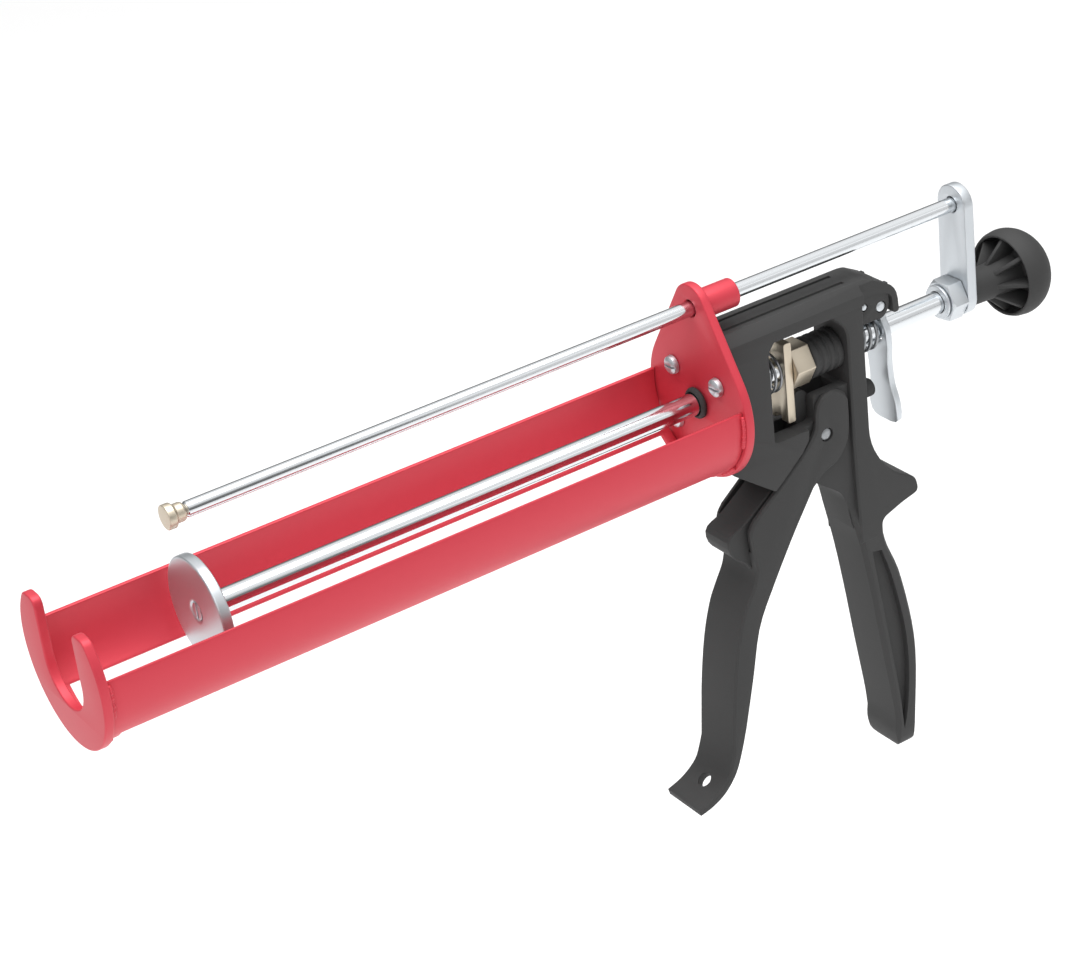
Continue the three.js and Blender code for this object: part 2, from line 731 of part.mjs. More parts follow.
// Outer side view of the trigger's cheeks.
function triggerShape() {
  const s = new THREE.Shape();
  const [start] = offPivot([[41.4, -49]]);
  s.moveTo(start.x, start.y);
  s.splineThru(offPivot(FINGER_FRONT));
  s.splineThru(offPivot([[65.3, -143.4], [69.4, -148], [75, -151.4], [82.2, -153.8]]));
  const [toe] = offPivot([[81.4, -156.8]]);
  s.lineTo(toe.x, toe.y);
  s.splineThru(offPivot([[75, -155.3], [67.5, -151.4], [61, -144.2], [57, -135], [53.4, -123.6]]));
  s.splineThru(offPivot([[47.8, -101.5], [42, -77.5], [32.4, -59.4], [20.6, -40.2], [8.6, -22.6]]));
  s.splineThru(offPivot([[2, -17.5], [-6, -14], [-11.6, -6], [-12.7, 6]]));
  s.absarc(PIVOT.x - 4, PIVOT.z + 10.4, 8.8, 170 * RAD, 5 * RAD, true);
  s.splineThru(offPivot([[6, 3], [13, -4.5], ...CHEEK_FRONT]));
  s.splineThru(offPivot([[43.6, -31], [42.8, -40], [41.4, -49]]));
  return s;
}

// Room between the cheeks: in front of the finger stop, round the pivot and behind the wall.
function channelShape() {
  const s = new THREE.Shape();
  const [first, ...corners] = offPivot([
    [-40, 40],
    [60, 40],
    [60, -41],
    [40.6, -41],
    [40.8, -32],
    [30.6, -22.4],
    [21, -15.2],
    [19, -17.6],
    [29, -26.4],
    [35.6, -35],
    [36.9, -47],
  ]);
  s.moveTo(first.x, first.y);
  corners.forEach((c) => s.lineTo(c.x, c.y));
  s.splineThru(offPivot(FINGER_FRONT, TRIGGER_WALL_T));
  s.splineThru(offPivot([[64.5, -142.8], [69, -150.5], [74, -160]], TRIGGER_WALL_T));
  offPivot([[20, -170], [-40, -100]]).forEach((c) => s.lineTo(c.x, c.y));
  s.closePath();
  return s;
}

// Finger stop: a raised block with a narrow groove each side that ends in a rounded beak.
function fingerStop() {
  return plateY(outline(from(PIVOT, [
    [22.8, -13.2],
    [34.7, -21.6],
    [44.5, -28.6, 4],
    [53.6, -31.6, 5],
    [51.6, -41, 5],
    [43.6, -46.4, 4],
    [41, -52],
    [38, -50],
    [38.6, -34],
    [29.6, -24.2],
    [20.6, -16.6],
  ])), -STOP_HALF, STOP_HALF, 0.5, 3);
}

// Middle arm: from the front wall past the pivot to the nose behind the drive plate.
function triggerArm() {
  const arm = plateY(outline(from(PIVOT, [
    [NOSE.x - 3.6, NOSE.z + 2.4, 2],
    [NOSE.x + 3, NOSE.z + 3, 2],
    [NOSE.x + 3.4, NOSE.z - 4, 3],
    [9, 1, 5],
    [20, -17],
    [30, -25.4],
    [38.5, -34],
    [39, -50],
    [34, -50, 4],
    [7, -14, 6],
    [-7, -6, 6],
    [-6, 6, 6],
  ])), -ARM_HALF, ARM_HALF);
  const nose = barY(ARM_HALF, NOSE.r, PIVOT.x + NOSE.x, PIVOT.z + NOSE.z, 20);
  return [arm, nose];
}

function trigger() {
  const block = plateY(triggerShape(), -TRIGGER_HALF, TRIGGER_HALF, 0.9, 3);
  const inner = TRIGGER_HALF - CHEEK_T;
  const hollow = plateY(channelShape(), -inner, inner, 0, 3);
  const shell = combine([block], [hollow]);
  const hole = barX(8, -8, 3.4, 0, 0, 16);
  hole.rotateY(-50 * RAD);
  hole.translate(PIVOT.x + 69.5, 0, PIVOT.z - 149.5);
  const bore = barY(TRIGGER_HALF + 5, PIVOT.r + 0.3, PIVOT.x, PIVOT.z);
  return combine([shell, fingerStop(), ...triggerArm()], [hole, bore]);
}

// ---- drive parts round the main rod ---------------------------------------------------
// Upright plate with a forked foot that the trigger's nose pushes forwards.
function drivePlate() {
  const x = DRIVE_PLATE;
  const side = plateY(outline([
    [x, 14, 1],
    [x, -23, 1],
    [x - DRIVE_PLATE_T, -23, 1],
    [x - DRIVE_PLATE_T, 14, 1],
  ]), -6.9, 6.9);
  const fork = box(x + 5, x - 10, -2.2, 2.2, -30, -20.5);
  return combine([side], [barX(x + 8, x - 12, MAIN_ROD_R + RUN), fork]);
}

function driveSleeve() {
  const back = SLEEVE_FRONT - SLEEVE_LENGTH;
  return combine(
    [hexX(SLEEVE_FRONT, back, SLEEVE_R)],
    [barX(SLEEVE_FRONT + 5, back - 5, MAIN_ROD_R + RUN)],
  );
}

function driveSpring() {
  return coilX(BAY_FRONT - GAP, DRIVE_PLATE + GAP, 8.2, 0.6, 3.5);
}

// ---- release lever --------------------------------------------------------------------
function releaseLever() {
  const s = outline([
    [LEVER.half, LEVER.top, 1],
    [LEVER.half, 6.5, 2],
    [LEVER.eye, 2, 3],
    [LEVER.eye, -7, 5],
    [LEVER.waist, -14, 5],
    [LEVER.waist, -26, 5],
    [LEVER.tab, -33, 4],
    [LEVER.tab, LEVER.bottom, 7.5],
    [-LEVER.tab, LEVER.bottom, 7.5],
    [-LEVER.tab, -33, 4],
    [-LEVER.waist, -26, 5],
    [-LEVER.waist, -14, 5],
    [-LEVER.eye, -7, 5],
    [-LEVER.eye, 2, 3],
    [-LEVER.half, 6.5, 2],
    [-LEVER.half, LEVER.top, 1],
  ]);
  const front = HANGER.x - 1.2;
  const plate = plateX(s, front, LEVER.t, 0.5, 3);
  const eye = barY(LEVER.half, 4.2, HANGER.x, HANGER.z, 16);
  const rodHole = new THREE.Shape();
  rodHole.absellipse(0, 0, MAIN_ROD_R + 0.9, MAIN_ROD_R + 1.6, 0, Math.PI * 2, false, 0);
  const cut = plateX(rodHole, front + 5, LEVER.t + 10, 0, 12);
  const pinHole = barY(LEVER.half + 5, HANGER.r + 0.3, HANGER.x, HANGER.z);
  const g = combine([plate, eye], [cut, pinHole]);
  g.translate(-HANGER.x, 0, -HANGER.z);
  g.rotateY(LEVER.lean * RAD);
  g.translate(HANGER.x, 0, HANGER.z);
  return g;
}

function releaseSpring() {
  const lean = Math.tan(LEVER.lean * RAD) * (HANGER.z + 8);
  return coilX(BODY_BACK + 2 - GAP, HANGER.x - 1.2 - lean * 0.4 + GAP, 7.2, 0.75, 4);
}

// ---- assembly -------------------------------------------------------------------------
const RED = { color: 0xc8323f, roughness: 0.35, metalness: 0.1 };
const BLACK = { color: 0x2b2c2e, roughness: 0.55, metalness: 0 };
const ZINC = { color: 0xc4cad0, roughness: 0.3, metalness: 0.9 };
const CHROME = { color: 0xd6dadd, roughness: 0.12, metalness: 1 };
const NICKEL = { color: 0xcfc3b4, roughness: 0.35, metalness: 0.9 };
const SPRING = { color: 0x8c9094, roughness: 0.3, metalness: 0.9 };

const gun = new THREE.Group();

function place(name, geometry, look) {
  const mesh = new THREE.Mesh(geometry, new THREE.MeshStandardMaterial(look));
  mesh.name = name;
  gun.add(mesh);
}

place('cradle', cradle(), RED);
place('front_plate', frontPlate(), RED);
place('back_plate', backPlate(), RED);
place('rod_guide_bush', rodGuideBush(), RED);
place('rod_collar', rodCollar(), BLACK);
screwPlaces().forEach(([y, z]) => {
  const side = y > 0 ? 'left' : 'right';
  const level = z > 0 ? 'upper' : 'lower';
  place(`plate_screw_${level}_${side}`, plateScrew(y, z), ZINC);
});
place('handle_body', handleBody(), BLACK);
place('rod_barrel', rodBarrel(), BLACK);
place('trigger_pivot_pin', outward(barY(TRIGGER_HALF - 0.4, PIVOT.r, PIVOT.x, PIVOT.z)), SPRING);
place('lever_hanger_pin', outward(barY(PIN_HALF, HANGER.r, HANGER.x, HANGER.z)), ZINC);
place('ear_cross_pin', outward(barY(PIN_HALF, EAR_PIN.r, EAR_PIN.x, EAR_PIN.z)), ZINC);
place('lever_stop_peg', outward(barX(BODY_BACK - GAP, BODY_BACK - PEG.length, PEG.r, 0, PEG.z)), BLACK);
place('main_rod', mainRod(), CHROME);
place('pusher_disc', pusherDisc(), ZINC);
place('disc_screw', discScrew(), ZINC);
place('thin_rod', thinRod(), CHROME);
place('small_plunger', smallPlunger(), NICKEL);
place('rear_strap', rearStrap(), ZINC);
place('strap_nut', strapNut(), ZINC);
place('nut_washer', nutWasher(), ZINC);
place('thin_rod_rivet', thinRodRivet(), ZINC);
place('pull_knob', pullKnob(), BLACK);
place('trigger', trigger(), BLACK);
place('drive_plate', drivePlate(), NICKEL);
place('drive_sleeve', driveSleeve(), NICKEL);
place('drive_spring', driveSpring(), SPRING);
place('release_lever', releaseLever(), ZINC);
place('release_spring', releaseSpring(), SPRING);

gun.position.set(-GRIP_MIDDLE.x, 0, -GRIP_MIDDLE.z);
gun.updateMatrixWorld(true);

export default gun;
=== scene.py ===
import math

import bmesh
import bpy
from mathutils import Euler, Matrix, Vector


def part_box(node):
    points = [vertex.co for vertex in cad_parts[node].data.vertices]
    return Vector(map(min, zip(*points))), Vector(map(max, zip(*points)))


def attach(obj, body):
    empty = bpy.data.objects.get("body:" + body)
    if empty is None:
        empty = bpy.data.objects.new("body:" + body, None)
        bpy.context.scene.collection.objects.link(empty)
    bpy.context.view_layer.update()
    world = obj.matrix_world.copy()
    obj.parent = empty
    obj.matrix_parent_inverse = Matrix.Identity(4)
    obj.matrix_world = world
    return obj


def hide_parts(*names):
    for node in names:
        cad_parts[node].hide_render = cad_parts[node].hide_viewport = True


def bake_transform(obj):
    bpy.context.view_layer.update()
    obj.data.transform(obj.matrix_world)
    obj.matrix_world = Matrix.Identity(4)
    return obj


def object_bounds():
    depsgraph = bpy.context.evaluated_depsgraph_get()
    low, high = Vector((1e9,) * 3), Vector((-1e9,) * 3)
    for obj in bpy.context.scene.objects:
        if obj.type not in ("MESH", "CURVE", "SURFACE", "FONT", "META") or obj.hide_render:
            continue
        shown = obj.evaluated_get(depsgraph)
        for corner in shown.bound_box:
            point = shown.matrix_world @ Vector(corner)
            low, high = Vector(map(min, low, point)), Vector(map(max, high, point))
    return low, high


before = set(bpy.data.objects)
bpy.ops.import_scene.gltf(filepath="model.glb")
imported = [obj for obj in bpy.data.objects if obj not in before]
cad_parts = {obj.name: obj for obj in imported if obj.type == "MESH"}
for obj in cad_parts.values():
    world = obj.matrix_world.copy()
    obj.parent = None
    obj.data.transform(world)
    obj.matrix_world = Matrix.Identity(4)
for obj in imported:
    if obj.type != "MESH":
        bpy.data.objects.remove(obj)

bl_info = {
    "name": "Two-rod cartridge gun",
    "version": (1, 0, 0),
    "blender": (4, 5, 0),
    "location": "3D View > Sidebar > Cartridge gun",
    "description": "Builds the finished pieces of a two-rod cartridge gun round its CAD frame",
    "category": "Add Mesh",
}

CAD_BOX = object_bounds()
MM = 0.001
FULL_TURN = 2 * math.pi
WELD_DISTANCE = 1e-6  # vertices closer than a micrometre are one
HOLE_POINTS = 48
# Holes round the two rods: a running fit in the fixed parts, a closer one in what is tied to them.
RUNNING_BORE, THIN_RUNNING_BORE = 5.2 * MM, 3.6 * MM
TIED_BORE, THIN_TIED_BORE = 5.1 * MM, 3.5 * MM
BARREL_BORE = 5.4 * MM


def corners(node):
    """Lowest and highest corner of a CAD node as vectors."""
    low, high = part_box(node)
    return Vector(low), Vector(high)


def axis_of(node):
    """The y and z of the X-parallel line through the middle of a CAD node."""
    low, high = corners(node)
    return (low.y + high.y) / 2, (low.z + high.z) / 2


ROD_Y, ROD_Z = axis_of("main_rod")
THIN_Y, THIN_Z = axis_of("thin_rod")
CRADLE_LOW, CRADLE_HIGH = corners("cradle")
CRADLE_RADIUS = (CRADLE_HIGH.y - CRADLE_LOW.y) / 2
CRADLE_RISE = CRADLE_HIGH.z - ROD_Z


# ---- sizes and colours a user would change ------------------------------------------------


def length(name, description, default_mm):
    """A length property that is shown in scene units and given here in millimetres."""
    return bpy.props.FloatProperty(
        name=name, description=description, default=default_mm * MM, min=0.0, precision=4,
        subtype="DISTANCE", unit="LENGTH",
    )


def paint(name, description, hex_code):
    """A colour property given as an sRGB hex value."""
    return bpy.props.FloatVectorProperty(
        name=name, description=description, default=linear(hex_code), size=3, min=0.0, max=1.0,
        subtype="COLOR",
    )


def linear(hex_code):
    """Linear red, green and blue of an sRGB hex value."""
    channels = [int(hex_code[i:i + 2], 16) / 255 for i in (0, 2, 4)]
    return tuple(c / 12.92 if c <= 0.04045 else ((c + 0.055) / 1.055) ** 2.4 for c in channels)


class GunSizes(bpy.types.PropertyGroup):
    """Sizes of the finished pieces that the CAD frame doesn't fix."""

    sheet: length("Sheet", "Thickness of the cradle's rolled sheet", 1.6)
    land: length("End land", "Full sheet left at each end of the open floor", 5.0)
    slot_angle: bpy.props.FloatProperty(
        name="Floor opening", description="Open angle each side of straight down",
        default=math.radians(45), min=0.1, max=1.4, subtype="ANGLE", unit="ROTATION",
    )
    notch: length("Notch", "Half width of the nozzle notch", 15.5)
    notch_drop: length("Notch drop", "Centre of the notch's floor below the rod", 1.5)
    ear: length("Ear", "Radius of the back plate's lobe round the thin rod", 10.5)
    press_edge: length("Pressed edge", "Rounding on the edges of the pressed plates", 0.7)
    mould_edge: length("Moulded edge", "Rounding on the edges of the moulded pieces", 0.8)
    bead: length("Weld bead", "Radius of one drop of the weld between cradle and plate", 1.15)
    drive_wire: length("Drive wire", "Radius of the drive spring's wire", 0.6)
    release_wire: length("Release wire", "Radius of the release spring's wire", 0.75)
    rib: length("Knob rib", "Thickness of the ribs under the knob", 1.8)


class GunColours(bpy.types.PropertyGroup):
    """Colours of the finishes."""

    red: paint("Powder coat", "Red of the cradle and its plates", "A8141F")
    black: paint("Nylon", "Black of the moulded handle, trigger and knob", "2C2D2F")
    zinc: paint("Zinc", "Clear-passivated zinc plate", "C9CED3")
    bar: paint("Bar", "Bright drawn and plated round bar", "D3D7DA")
    yellow: paint("Yellow passivate", "Pale yellow-passivated drive parts", "C9B597")
    wire: paint("Spring wire", "Oiled spring wire", "5A5D60")
    floor: paint("Floor", "Plain pale floor", "FAFAFA")


# ---- materials ----------------------------------------------------------------------------


def add_node(tree, kind, inputs=None, **settings):
    """A node with its settings, and its inputs filled with values or links."""
    made = tree.nodes.new(kind)
    for key, value in settings.items():
        setattr(made, key, value)
    for key, value in (inputs or {}).items():
        if isinstance(value, bpy.types.NodeSocket):
            tree.links.new(value, made.inputs[key])
        else:
            made.inputs[key].default_value = value
    return made


def finish(name, **sockets):
    """A new material and its tree, with the shader's uniform sockets set."""
    material = bpy.data.materials.new(name)
    material.use_nodes = True
    tree = material.node_tree
    shader = tree.nodes["Principled BSDF"]
    for key, value in sockets.items():
        shader.inputs[key.replace("_", " ")].default_value = value
    return material, tree, shader


def per_mm(size_mm):
    """Texture scale whose features are about that many millimetres across."""
    return 1 / (size_mm * MM)


def place(tree, stretch=(1, 1, 1)):
    """Object coordinates, squeezed by `stretch` so that a pattern draws out along an axis."""
    coordinate = add_node(tree, "ShaderNodeTexCoord")
    return add_node(
        tree, "ShaderNodeMapping", {"Vector": coordinate.outputs["Object"], "Scale": stretch}
    ).outputs["Vector"]


def shade(colour, factor):
    """The colour made lighter or darker, with full alpha."""
    return tuple(min(1.0, c * factor) for c in colour) + (1.0,)


def mottle(tree, shader, vector, colour, size_mm, low, high, roughness):
    """Cloudy change of colour and roughness of about that size over the surface."""
    noise = add_node(tree, "ShaderNodeTexNoise", {"Vector": vector, "Scale": per_mm(size_mm), "Detail": 4.0})
    mix = add_node(
        tree, "ShaderNodeMix",
        {"Factor": noise.outputs["Fac"], "A": shade(colour, low), "B": shade(colour, high)},
        data_type="RGBA",
    )
    tree.links.new(mix.outputs["Result"], shader.inputs["Base Color"])
    spread = add_node(
        tree, "ShaderNodeMapRange",
        {"Value": noise.outputs["Fac"], "To Min": roughness[0], "To Max": roughness[1]},
    )
    tree.links.new(spread.outputs["Result"], shader.inputs["Roughness"])


def relief(tree, shader, height, depth_mm, strength):
    """Bump from a height output, with its real depth."""
    bump = add_node(
        tree, "ShaderNodeBump", {"Height": height, "Distance": depth_mm * MM, "Strength": strength}
    )
    tree.links.new(bump.outputs["Normal"], shader.inputs["Normal"])


def powder_coat():
    """Glossy red powder coat, baked: a clear wet shine over very slight orange peel."""
    colour = tuple(bpy.context.scene.gun_colours.red)
    material, tree, shader = finish("red_powder_coat", IOR=1.5, Coat_Weight=0.35, Coat_Roughness=0.12)
    vector = place(tree)
    mottle(tree, shader, vector, colour, size_mm=14, low=0.92, high=1.06, roughness=(0.24, 0.34))
    peel = add_node(tree, "ShaderNodeTexNoise", {"Vector": vector, "Scale": per_mm(2.2), "Detail": 1.0})
    relief(tree, shader, peel.outputs["Fac"], depth_mm=0.05, strength=0.25)
    return material


def glass_filled_nylon():
    """Injection-moulded glass-filled nylon: dark grey-black, satin, with fine spark-eroded grain."""
    colour = tuple(bpy.context.scene.gun_colours.black)
    material, tree, shader = finish("black_glass_filled_nylon", IOR=1.53)
    vector = place(tree)
    mottle(tree, shader, vector, colour, size_mm=9, low=0.85, high=1.12, roughness=(0.42, 0.56))
    # Real mould grain is near 0.2 mm across. It is drawn at 0.5 mm so that it shows.
    grain = add_node(tree, "ShaderNodeTexNoise", {"Vector": vector, "Scale": per_mm(0.5), "Detail": 2.0})
    relief(tree, shader, grain.outputs["Fac"], depth_mm=0.05, strength=0.35)
    return material


def zinc_plate():
    """Bright zinc with a clear passivate: soft cloudy mirror with faint blue-grey spangle."""
    colour = tuple(bpy.context.scene.gun_colours.zinc)
    material, tree, shader = finish("zinc_plated_steel", Metallic=1.0)
    vector = place(tree)
    mottle(tree, shader, vector, colour, size_mm=3.5, low=0.86, high=1.05, roughness=(0.17, 0.33))
    grit = add_node(tree, "ShaderNodeTexNoise", {"Vector": vector, "Scale": per_mm(0.6), "Detail": 2.0})
    relief(tree, shader, grit.outputs["Fac"], depth_mm=0.01, strength=0.3)
    return material


def plated_bar():
    """Drawn and nickel-plated round bar: near mirror, with fine die lines along its length."""
    colour = tuple(bpy.context.scene.gun_colours.bar)
    material, tree, shader = finish("plated_rod_steel", Metallic=1.0)
    vector = place(tree, stretch=(0.02, 1, 1))
    mottle(tree, shader, vector, colour, size_mm=0.9, low=0.9, high=1.04, roughness=(0.1, 0.22))
    # Real die lines are hundredths of a millimetre apart. They are drawn at 0.35 mm so that they show.
    lines = add_node(tree, "ShaderNodeTexNoise", {"Vector": vector, "Scale": per_mm(0.35), "Detail": 2.0})
    relief(tree, shader, lines.outputs["Fac"], depth_mm=0.008, strength=0.3)
    return material


def yellow_passivate():
    """Zinc with a pale yellow chromate: straw colour that drifts towards grey."""
    colour = tuple(bpy.context.scene.gun_colours.yellow)
    material, tree, shader = finish("yellow_passivated_steel", Metallic=1.0)
    vector = place(tree)
    mottle(tree, shader, vector, colour, size_mm=5, low=0.8, high=1.08, roughness=(0.24, 0.4))
    grit = add_node(tree, "ShaderNodeTexNoise", {"Vector": vector, "Scale": per_mm(0.5), "Detail": 2.0})
    relief(tree, shader, grit.outputs["Fac"], depth_mm=0.012, strength=0.3)
    return material


def spring_wire():
    """Hard-drawn spring wire, lightly oiled: dark grey with a narrow bright line on each turn."""
    colour = tuple(bpy.context.scene.gun_colours.wire)
    material, tree, shader = finish("spring_steel", Metallic=1.0)
    vector = place(tree)
    mottle(tree, shader, vector, colour, size_mm=2, low=0.75, high=1.15, roughness=(0.22, 0.38))
    return material


def floor_paint():
    """Matt pale board that shows only a soft shade under the gun."""
    colour = tuple(bpy.context.scene.gun_colours.floor)
    material, tree, shader = finish("pale_board", IOR=1.4)
    mottle(tree, shader, place(tree), colour, size_mm=60, low=0.995, high=1.0, roughness=(0.85, 0.95))
    return material


FINISHES = {
    "red_powder_coat": powder_coat,
    "black_glass_filled_nylon": glass_filled_nylon,
    "zinc_plated_steel": zinc_plate,
    "plated_rod_steel": plated_bar,
    "yellow_passivated_steel": yellow_passivate,
    "spring_steel": spring_wire,
    "pale_board": floor_paint,
}


def finish_named(name):
    """The material of that name, made the first time it is asked for."""
    return bpy.data.materials.get(name) or FINISHES[name]()


# ---- shaping helpers ----------------------------------------------------------------------


def linked(name, data):
    """An object at the origin that shows a mesh or a curve."""
    thing = bpy.data.objects.new(name, data)
    bpy.context.scene.collection.objects.link(thing)
    return thing


def mesh_from(shape, name):
    """Welds a bmesh, turns its faces outwards and writes it to a new mesh."""
    bmesh.ops.remove_doubles(shape, verts=shape.verts, dist=WELD_DISTANCE)
    bmesh.ops.recalc_face_normals(shape, faces=shape.faces)
    mesh = bpy.data.meshes.new(name)
    shape.to_mesh(mesh)
    shape.free()
    return mesh


def bake_modifiers(thing):
    """Writes an object's modifiers into its mesh and removes them."""
    depsgraph = bpy.context.evaluated_depsgraph_get()
    mesh = bpy.data.meshes.new_from_object(thing.evaluated_get(depsgraph), depsgraph=depsgraph)
    thing.modifiers.clear()
    thing.data = mesh
    return thing


def hand_over(thing, body, slot, replaces=(), crease=32, squeezed=None):
    """Gives a finished piece its material, smooth shading, body and CAD nodes. A squeezed piece has its
    place baked into its mesh and is given no body; the body and points in squeezed are not used."""
    mesh = thing.data
    mesh.materials.clear()
    mesh.materials.append(finish_named(slot))
    for face in mesh.polygons:
        face.use_smooth = True
        face.material_index = 0
    mesh.set_sharp_from_angle(angle=math.radians(crease))
    if squeezed:
        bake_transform(thing)
    else:
        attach(thing, body)
    if replaces:
        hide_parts(*replaces)
    return thing


def round_edges(thing, width, segments=3, angle=32):
    """Rounds an object's edges that are sharper than an angle."""
    bevel = thing.modifiers.new("rounded edges", "BEVEL")
    bevel.width = width
    bevel.segments = segments
    bevel.limit_method = "ANGLE"
    bevel.angle_limit = math.radians(angle)
    bevel.miter_outer = "MITER_ARC"
    return bake_modifiers(thing)


def welded_copy(node, name):
    """A copy of a CAD node, welded, with its flat triangles joined into whole faces."""
    shape = bmesh.new()
    shape.from_mesh(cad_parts[node].data)
    bmesh.ops.remove_doubles(shape, verts=shape.verts, dist=WELD_DISTANCE)
    bmesh.ops.dissolve_limit(
        shape, angle_limit=math.radians(0.6), verts=shape.verts, edges=shape.edges,
        use_dissolve_boundaries=False,
    )
    mesh = bpy.data.meshes.new(name)
    shape.to_mesh(mesh)
    shape.free()
    if "custom_normal" in mesh.attributes:
        mesh.attributes.remove(mesh.attributes["custom_normal"])
    return linked(name, mesh)


def softened(points, cut, steps=4):
    """The points of a profile with each inner corner rounded."""
    out = [points[0]]
    for before, here, after in zip(points, points[1:], points[2:]):
        a, b, c = Vector(before), Vector(here), Vector(after)
        reach = min(cut, (a - b).length * 0.45, (c - b).length * 0.45)
        start = b + (a - b).normalized() * reach
        end = b + (c - b).normalized() * reach
        for i in range(steps + 1):
            t = i / steps
            out.append(tuple(start.lerp(b, t).lerp(b.lerp(end, t), t)))
    out.append(points[-1])
    return out


def turned(name, profile, y, z, steps=72):
    """A solid turned about an X-parallel line. The profile is (x, radius) pairs, and closes on
    itself where it doesn't start on the axis."""
    shape = bmesh.new()
    rings = []
    for x, radius in profile:
        if radius < 1e-7:
            rings.append([shape.verts.new((x, y, z))])
            continue
        turn = [FULL_TURN * i / steps for i in range(steps)]
        rings.append([
            shape.verts.new((x, y + radius * math.cos(a), z + radius * math.sin(a))) for a in turn
        ])
    pairs = list(zip(rings, rings[1:]))
    if len(rings[0]) > 1:
        pairs.append((rings[-1], rings[0]))
    for first, second in pairs:
        for i in range(steps):
            j = (i + 1) % steps
            ring = [first[i % len(first)], first[j % len(first)],
                    second[j % len(second)], second[i % len(second)]]
            face = list(dict.fromkeys(ring))
            if len(face) > 2:
                shape.faces.new(face)
    return linked(name, mesh_from(shape, name))


def arc(centre, radius, start, end, steps):
    """Points on an arc, in degrees, anticlockwise where end is larger."""
    out = []
    for i in range(steps + 1):
        a = math.radians(start + (end - start) * i / steps)
        out.append((centre[0] + radius * math.cos(a), centre[1] + radius * math.sin(a)))
    return out


def hole(centre, radius):
    """The outline of a round hole."""
    return arc(centre, radius, 360, 360 / HOLE_POINTS, HOLE_POINTS - 1)


def pressed_plate(name, rings, x_back, thickness, edge):
    """A plate across the gun from outline rings in y and z. Rings inside the first are holes."""
    curve = bpy.data.curves.new(name, "CURVE")
    curve.dimensions = "2D"
    curve.fill_mode = "BOTH"
    curve.extrude = thickness / 2 - edge
    curve.bevel_depth = edge
    curve.bevel_resolution = 3
    curve.offset = -edge
    for ring in rings:
        spline = curve.splines.new("POLY")
        spline.points.add(len(ring) - 1)
        for point, (y, z) in zip(spline.points, ring):
            point.co = (y, z, 0, 1)
        spline.use_cyclic_u = True
    flat = linked(name, curve)
    depsgraph = bpy.context.evaluated_depsgraph_get()
    mesh = bpy.data.meshes.new_from_object(flat.evaluated_get(depsgraph), depsgraph=depsgraph)
    bpy.data.objects.remove(flat)
    shape = bmesh.new()
    shape.from_mesh(mesh)
    middle = x_back + thickness / 2
    stand = Matrix(((0, 0, 1, middle), (1, 0, 0, 0), (0, 1, 0, 0), (0, 0, 0, 1)))
    bmesh.ops.transform(shape, matrix=stand, verts=shape.verts)
    return linked(name, mesh_from(shape, name))


def teardrop(big, small, gap_steps=40):
    """Outline of a plate round both rods: two circles and their outer tangents."""
    lean = math.degrees(math.asin((big - small) / (THIN_Z - ROD_Z)))
    top = arc((THIN_Y, THIN_Z), small, lean, 180 - lean, gap_steps)
    return top + arc((ROD_Y, ROD_Z), big, 180 - lean, 360 + lean, 2 * gap_steps)


def joined(name, things):
    """One object out of several."""
    shape = bmesh.new()
    for thing in things:
        shape.from_mesh(thing.data)
        bpy.data.objects.remove(thing)
    mesh = bpy.data.meshes.new(name)
    shape.to_mesh(mesh)
    shape.free()
    return linked(name, mesh)


# ---- geometry node trees ------------------------------------------------------------------


def new_tree(name, sizes, takes_geometry=False):
    """An empty geometry tree with named number inputs, a Material input and a geometry output."""
    tree = bpy.data.node_groups.new(name, "GeometryNodeTree")
    if takes_geometry:
        tree.interface.new_socket("Geometry", in_out="INPUT", socket_type="NodeSocketGeometry")
    for label, kind in sizes:
        tree.interface.new_socket(label, in_out="INPUT", socket_type=kind)
    tree.interface.new_socket("Material", in_out="INPUT", socket_type="NodeSocketMaterial")
    tree.interface.new_socket("Geometry", in_out="OUTPUT", socket_type="NodeSocketGeometry")
    return tree, add_node(tree, "NodeGroupInput").outputs


def end_tree(tree, given, geometry):
    """Makes instances real, sets the material and closes the tree."""
    real = add_node(tree, "GeometryNodeRealizeInstances", {"Geometry": geometry})
    painted = add_node(
        tree, "GeometryNodeSetMaterial",
        {"Geometry": real.outputs["Geometry"], "Material": given["Material"]},
    )
    add_node(tree, "NodeGroupOutput", {"Geometry": painted.outputs["Geometry"]})
    return tree


def grown(name, tree, base=None, **values):
    """The plain mesh that a tree makes from its named inputs, on a base mesh where it needs one."""
    thing = linked(name, base or bpy.data.meshes.new(name))
    growth = thing.modifiers.new(tree.name, "NODES")
    growth.node_group = tree
    sockets = {item.name: item.identifier for item in tree.interface.items_tree if item.in_out == "INPUT"}
    for label, value in values.items():
        growth[sockets[label.replace("_", " ")]] = value
    return bake_modifiers(thing)


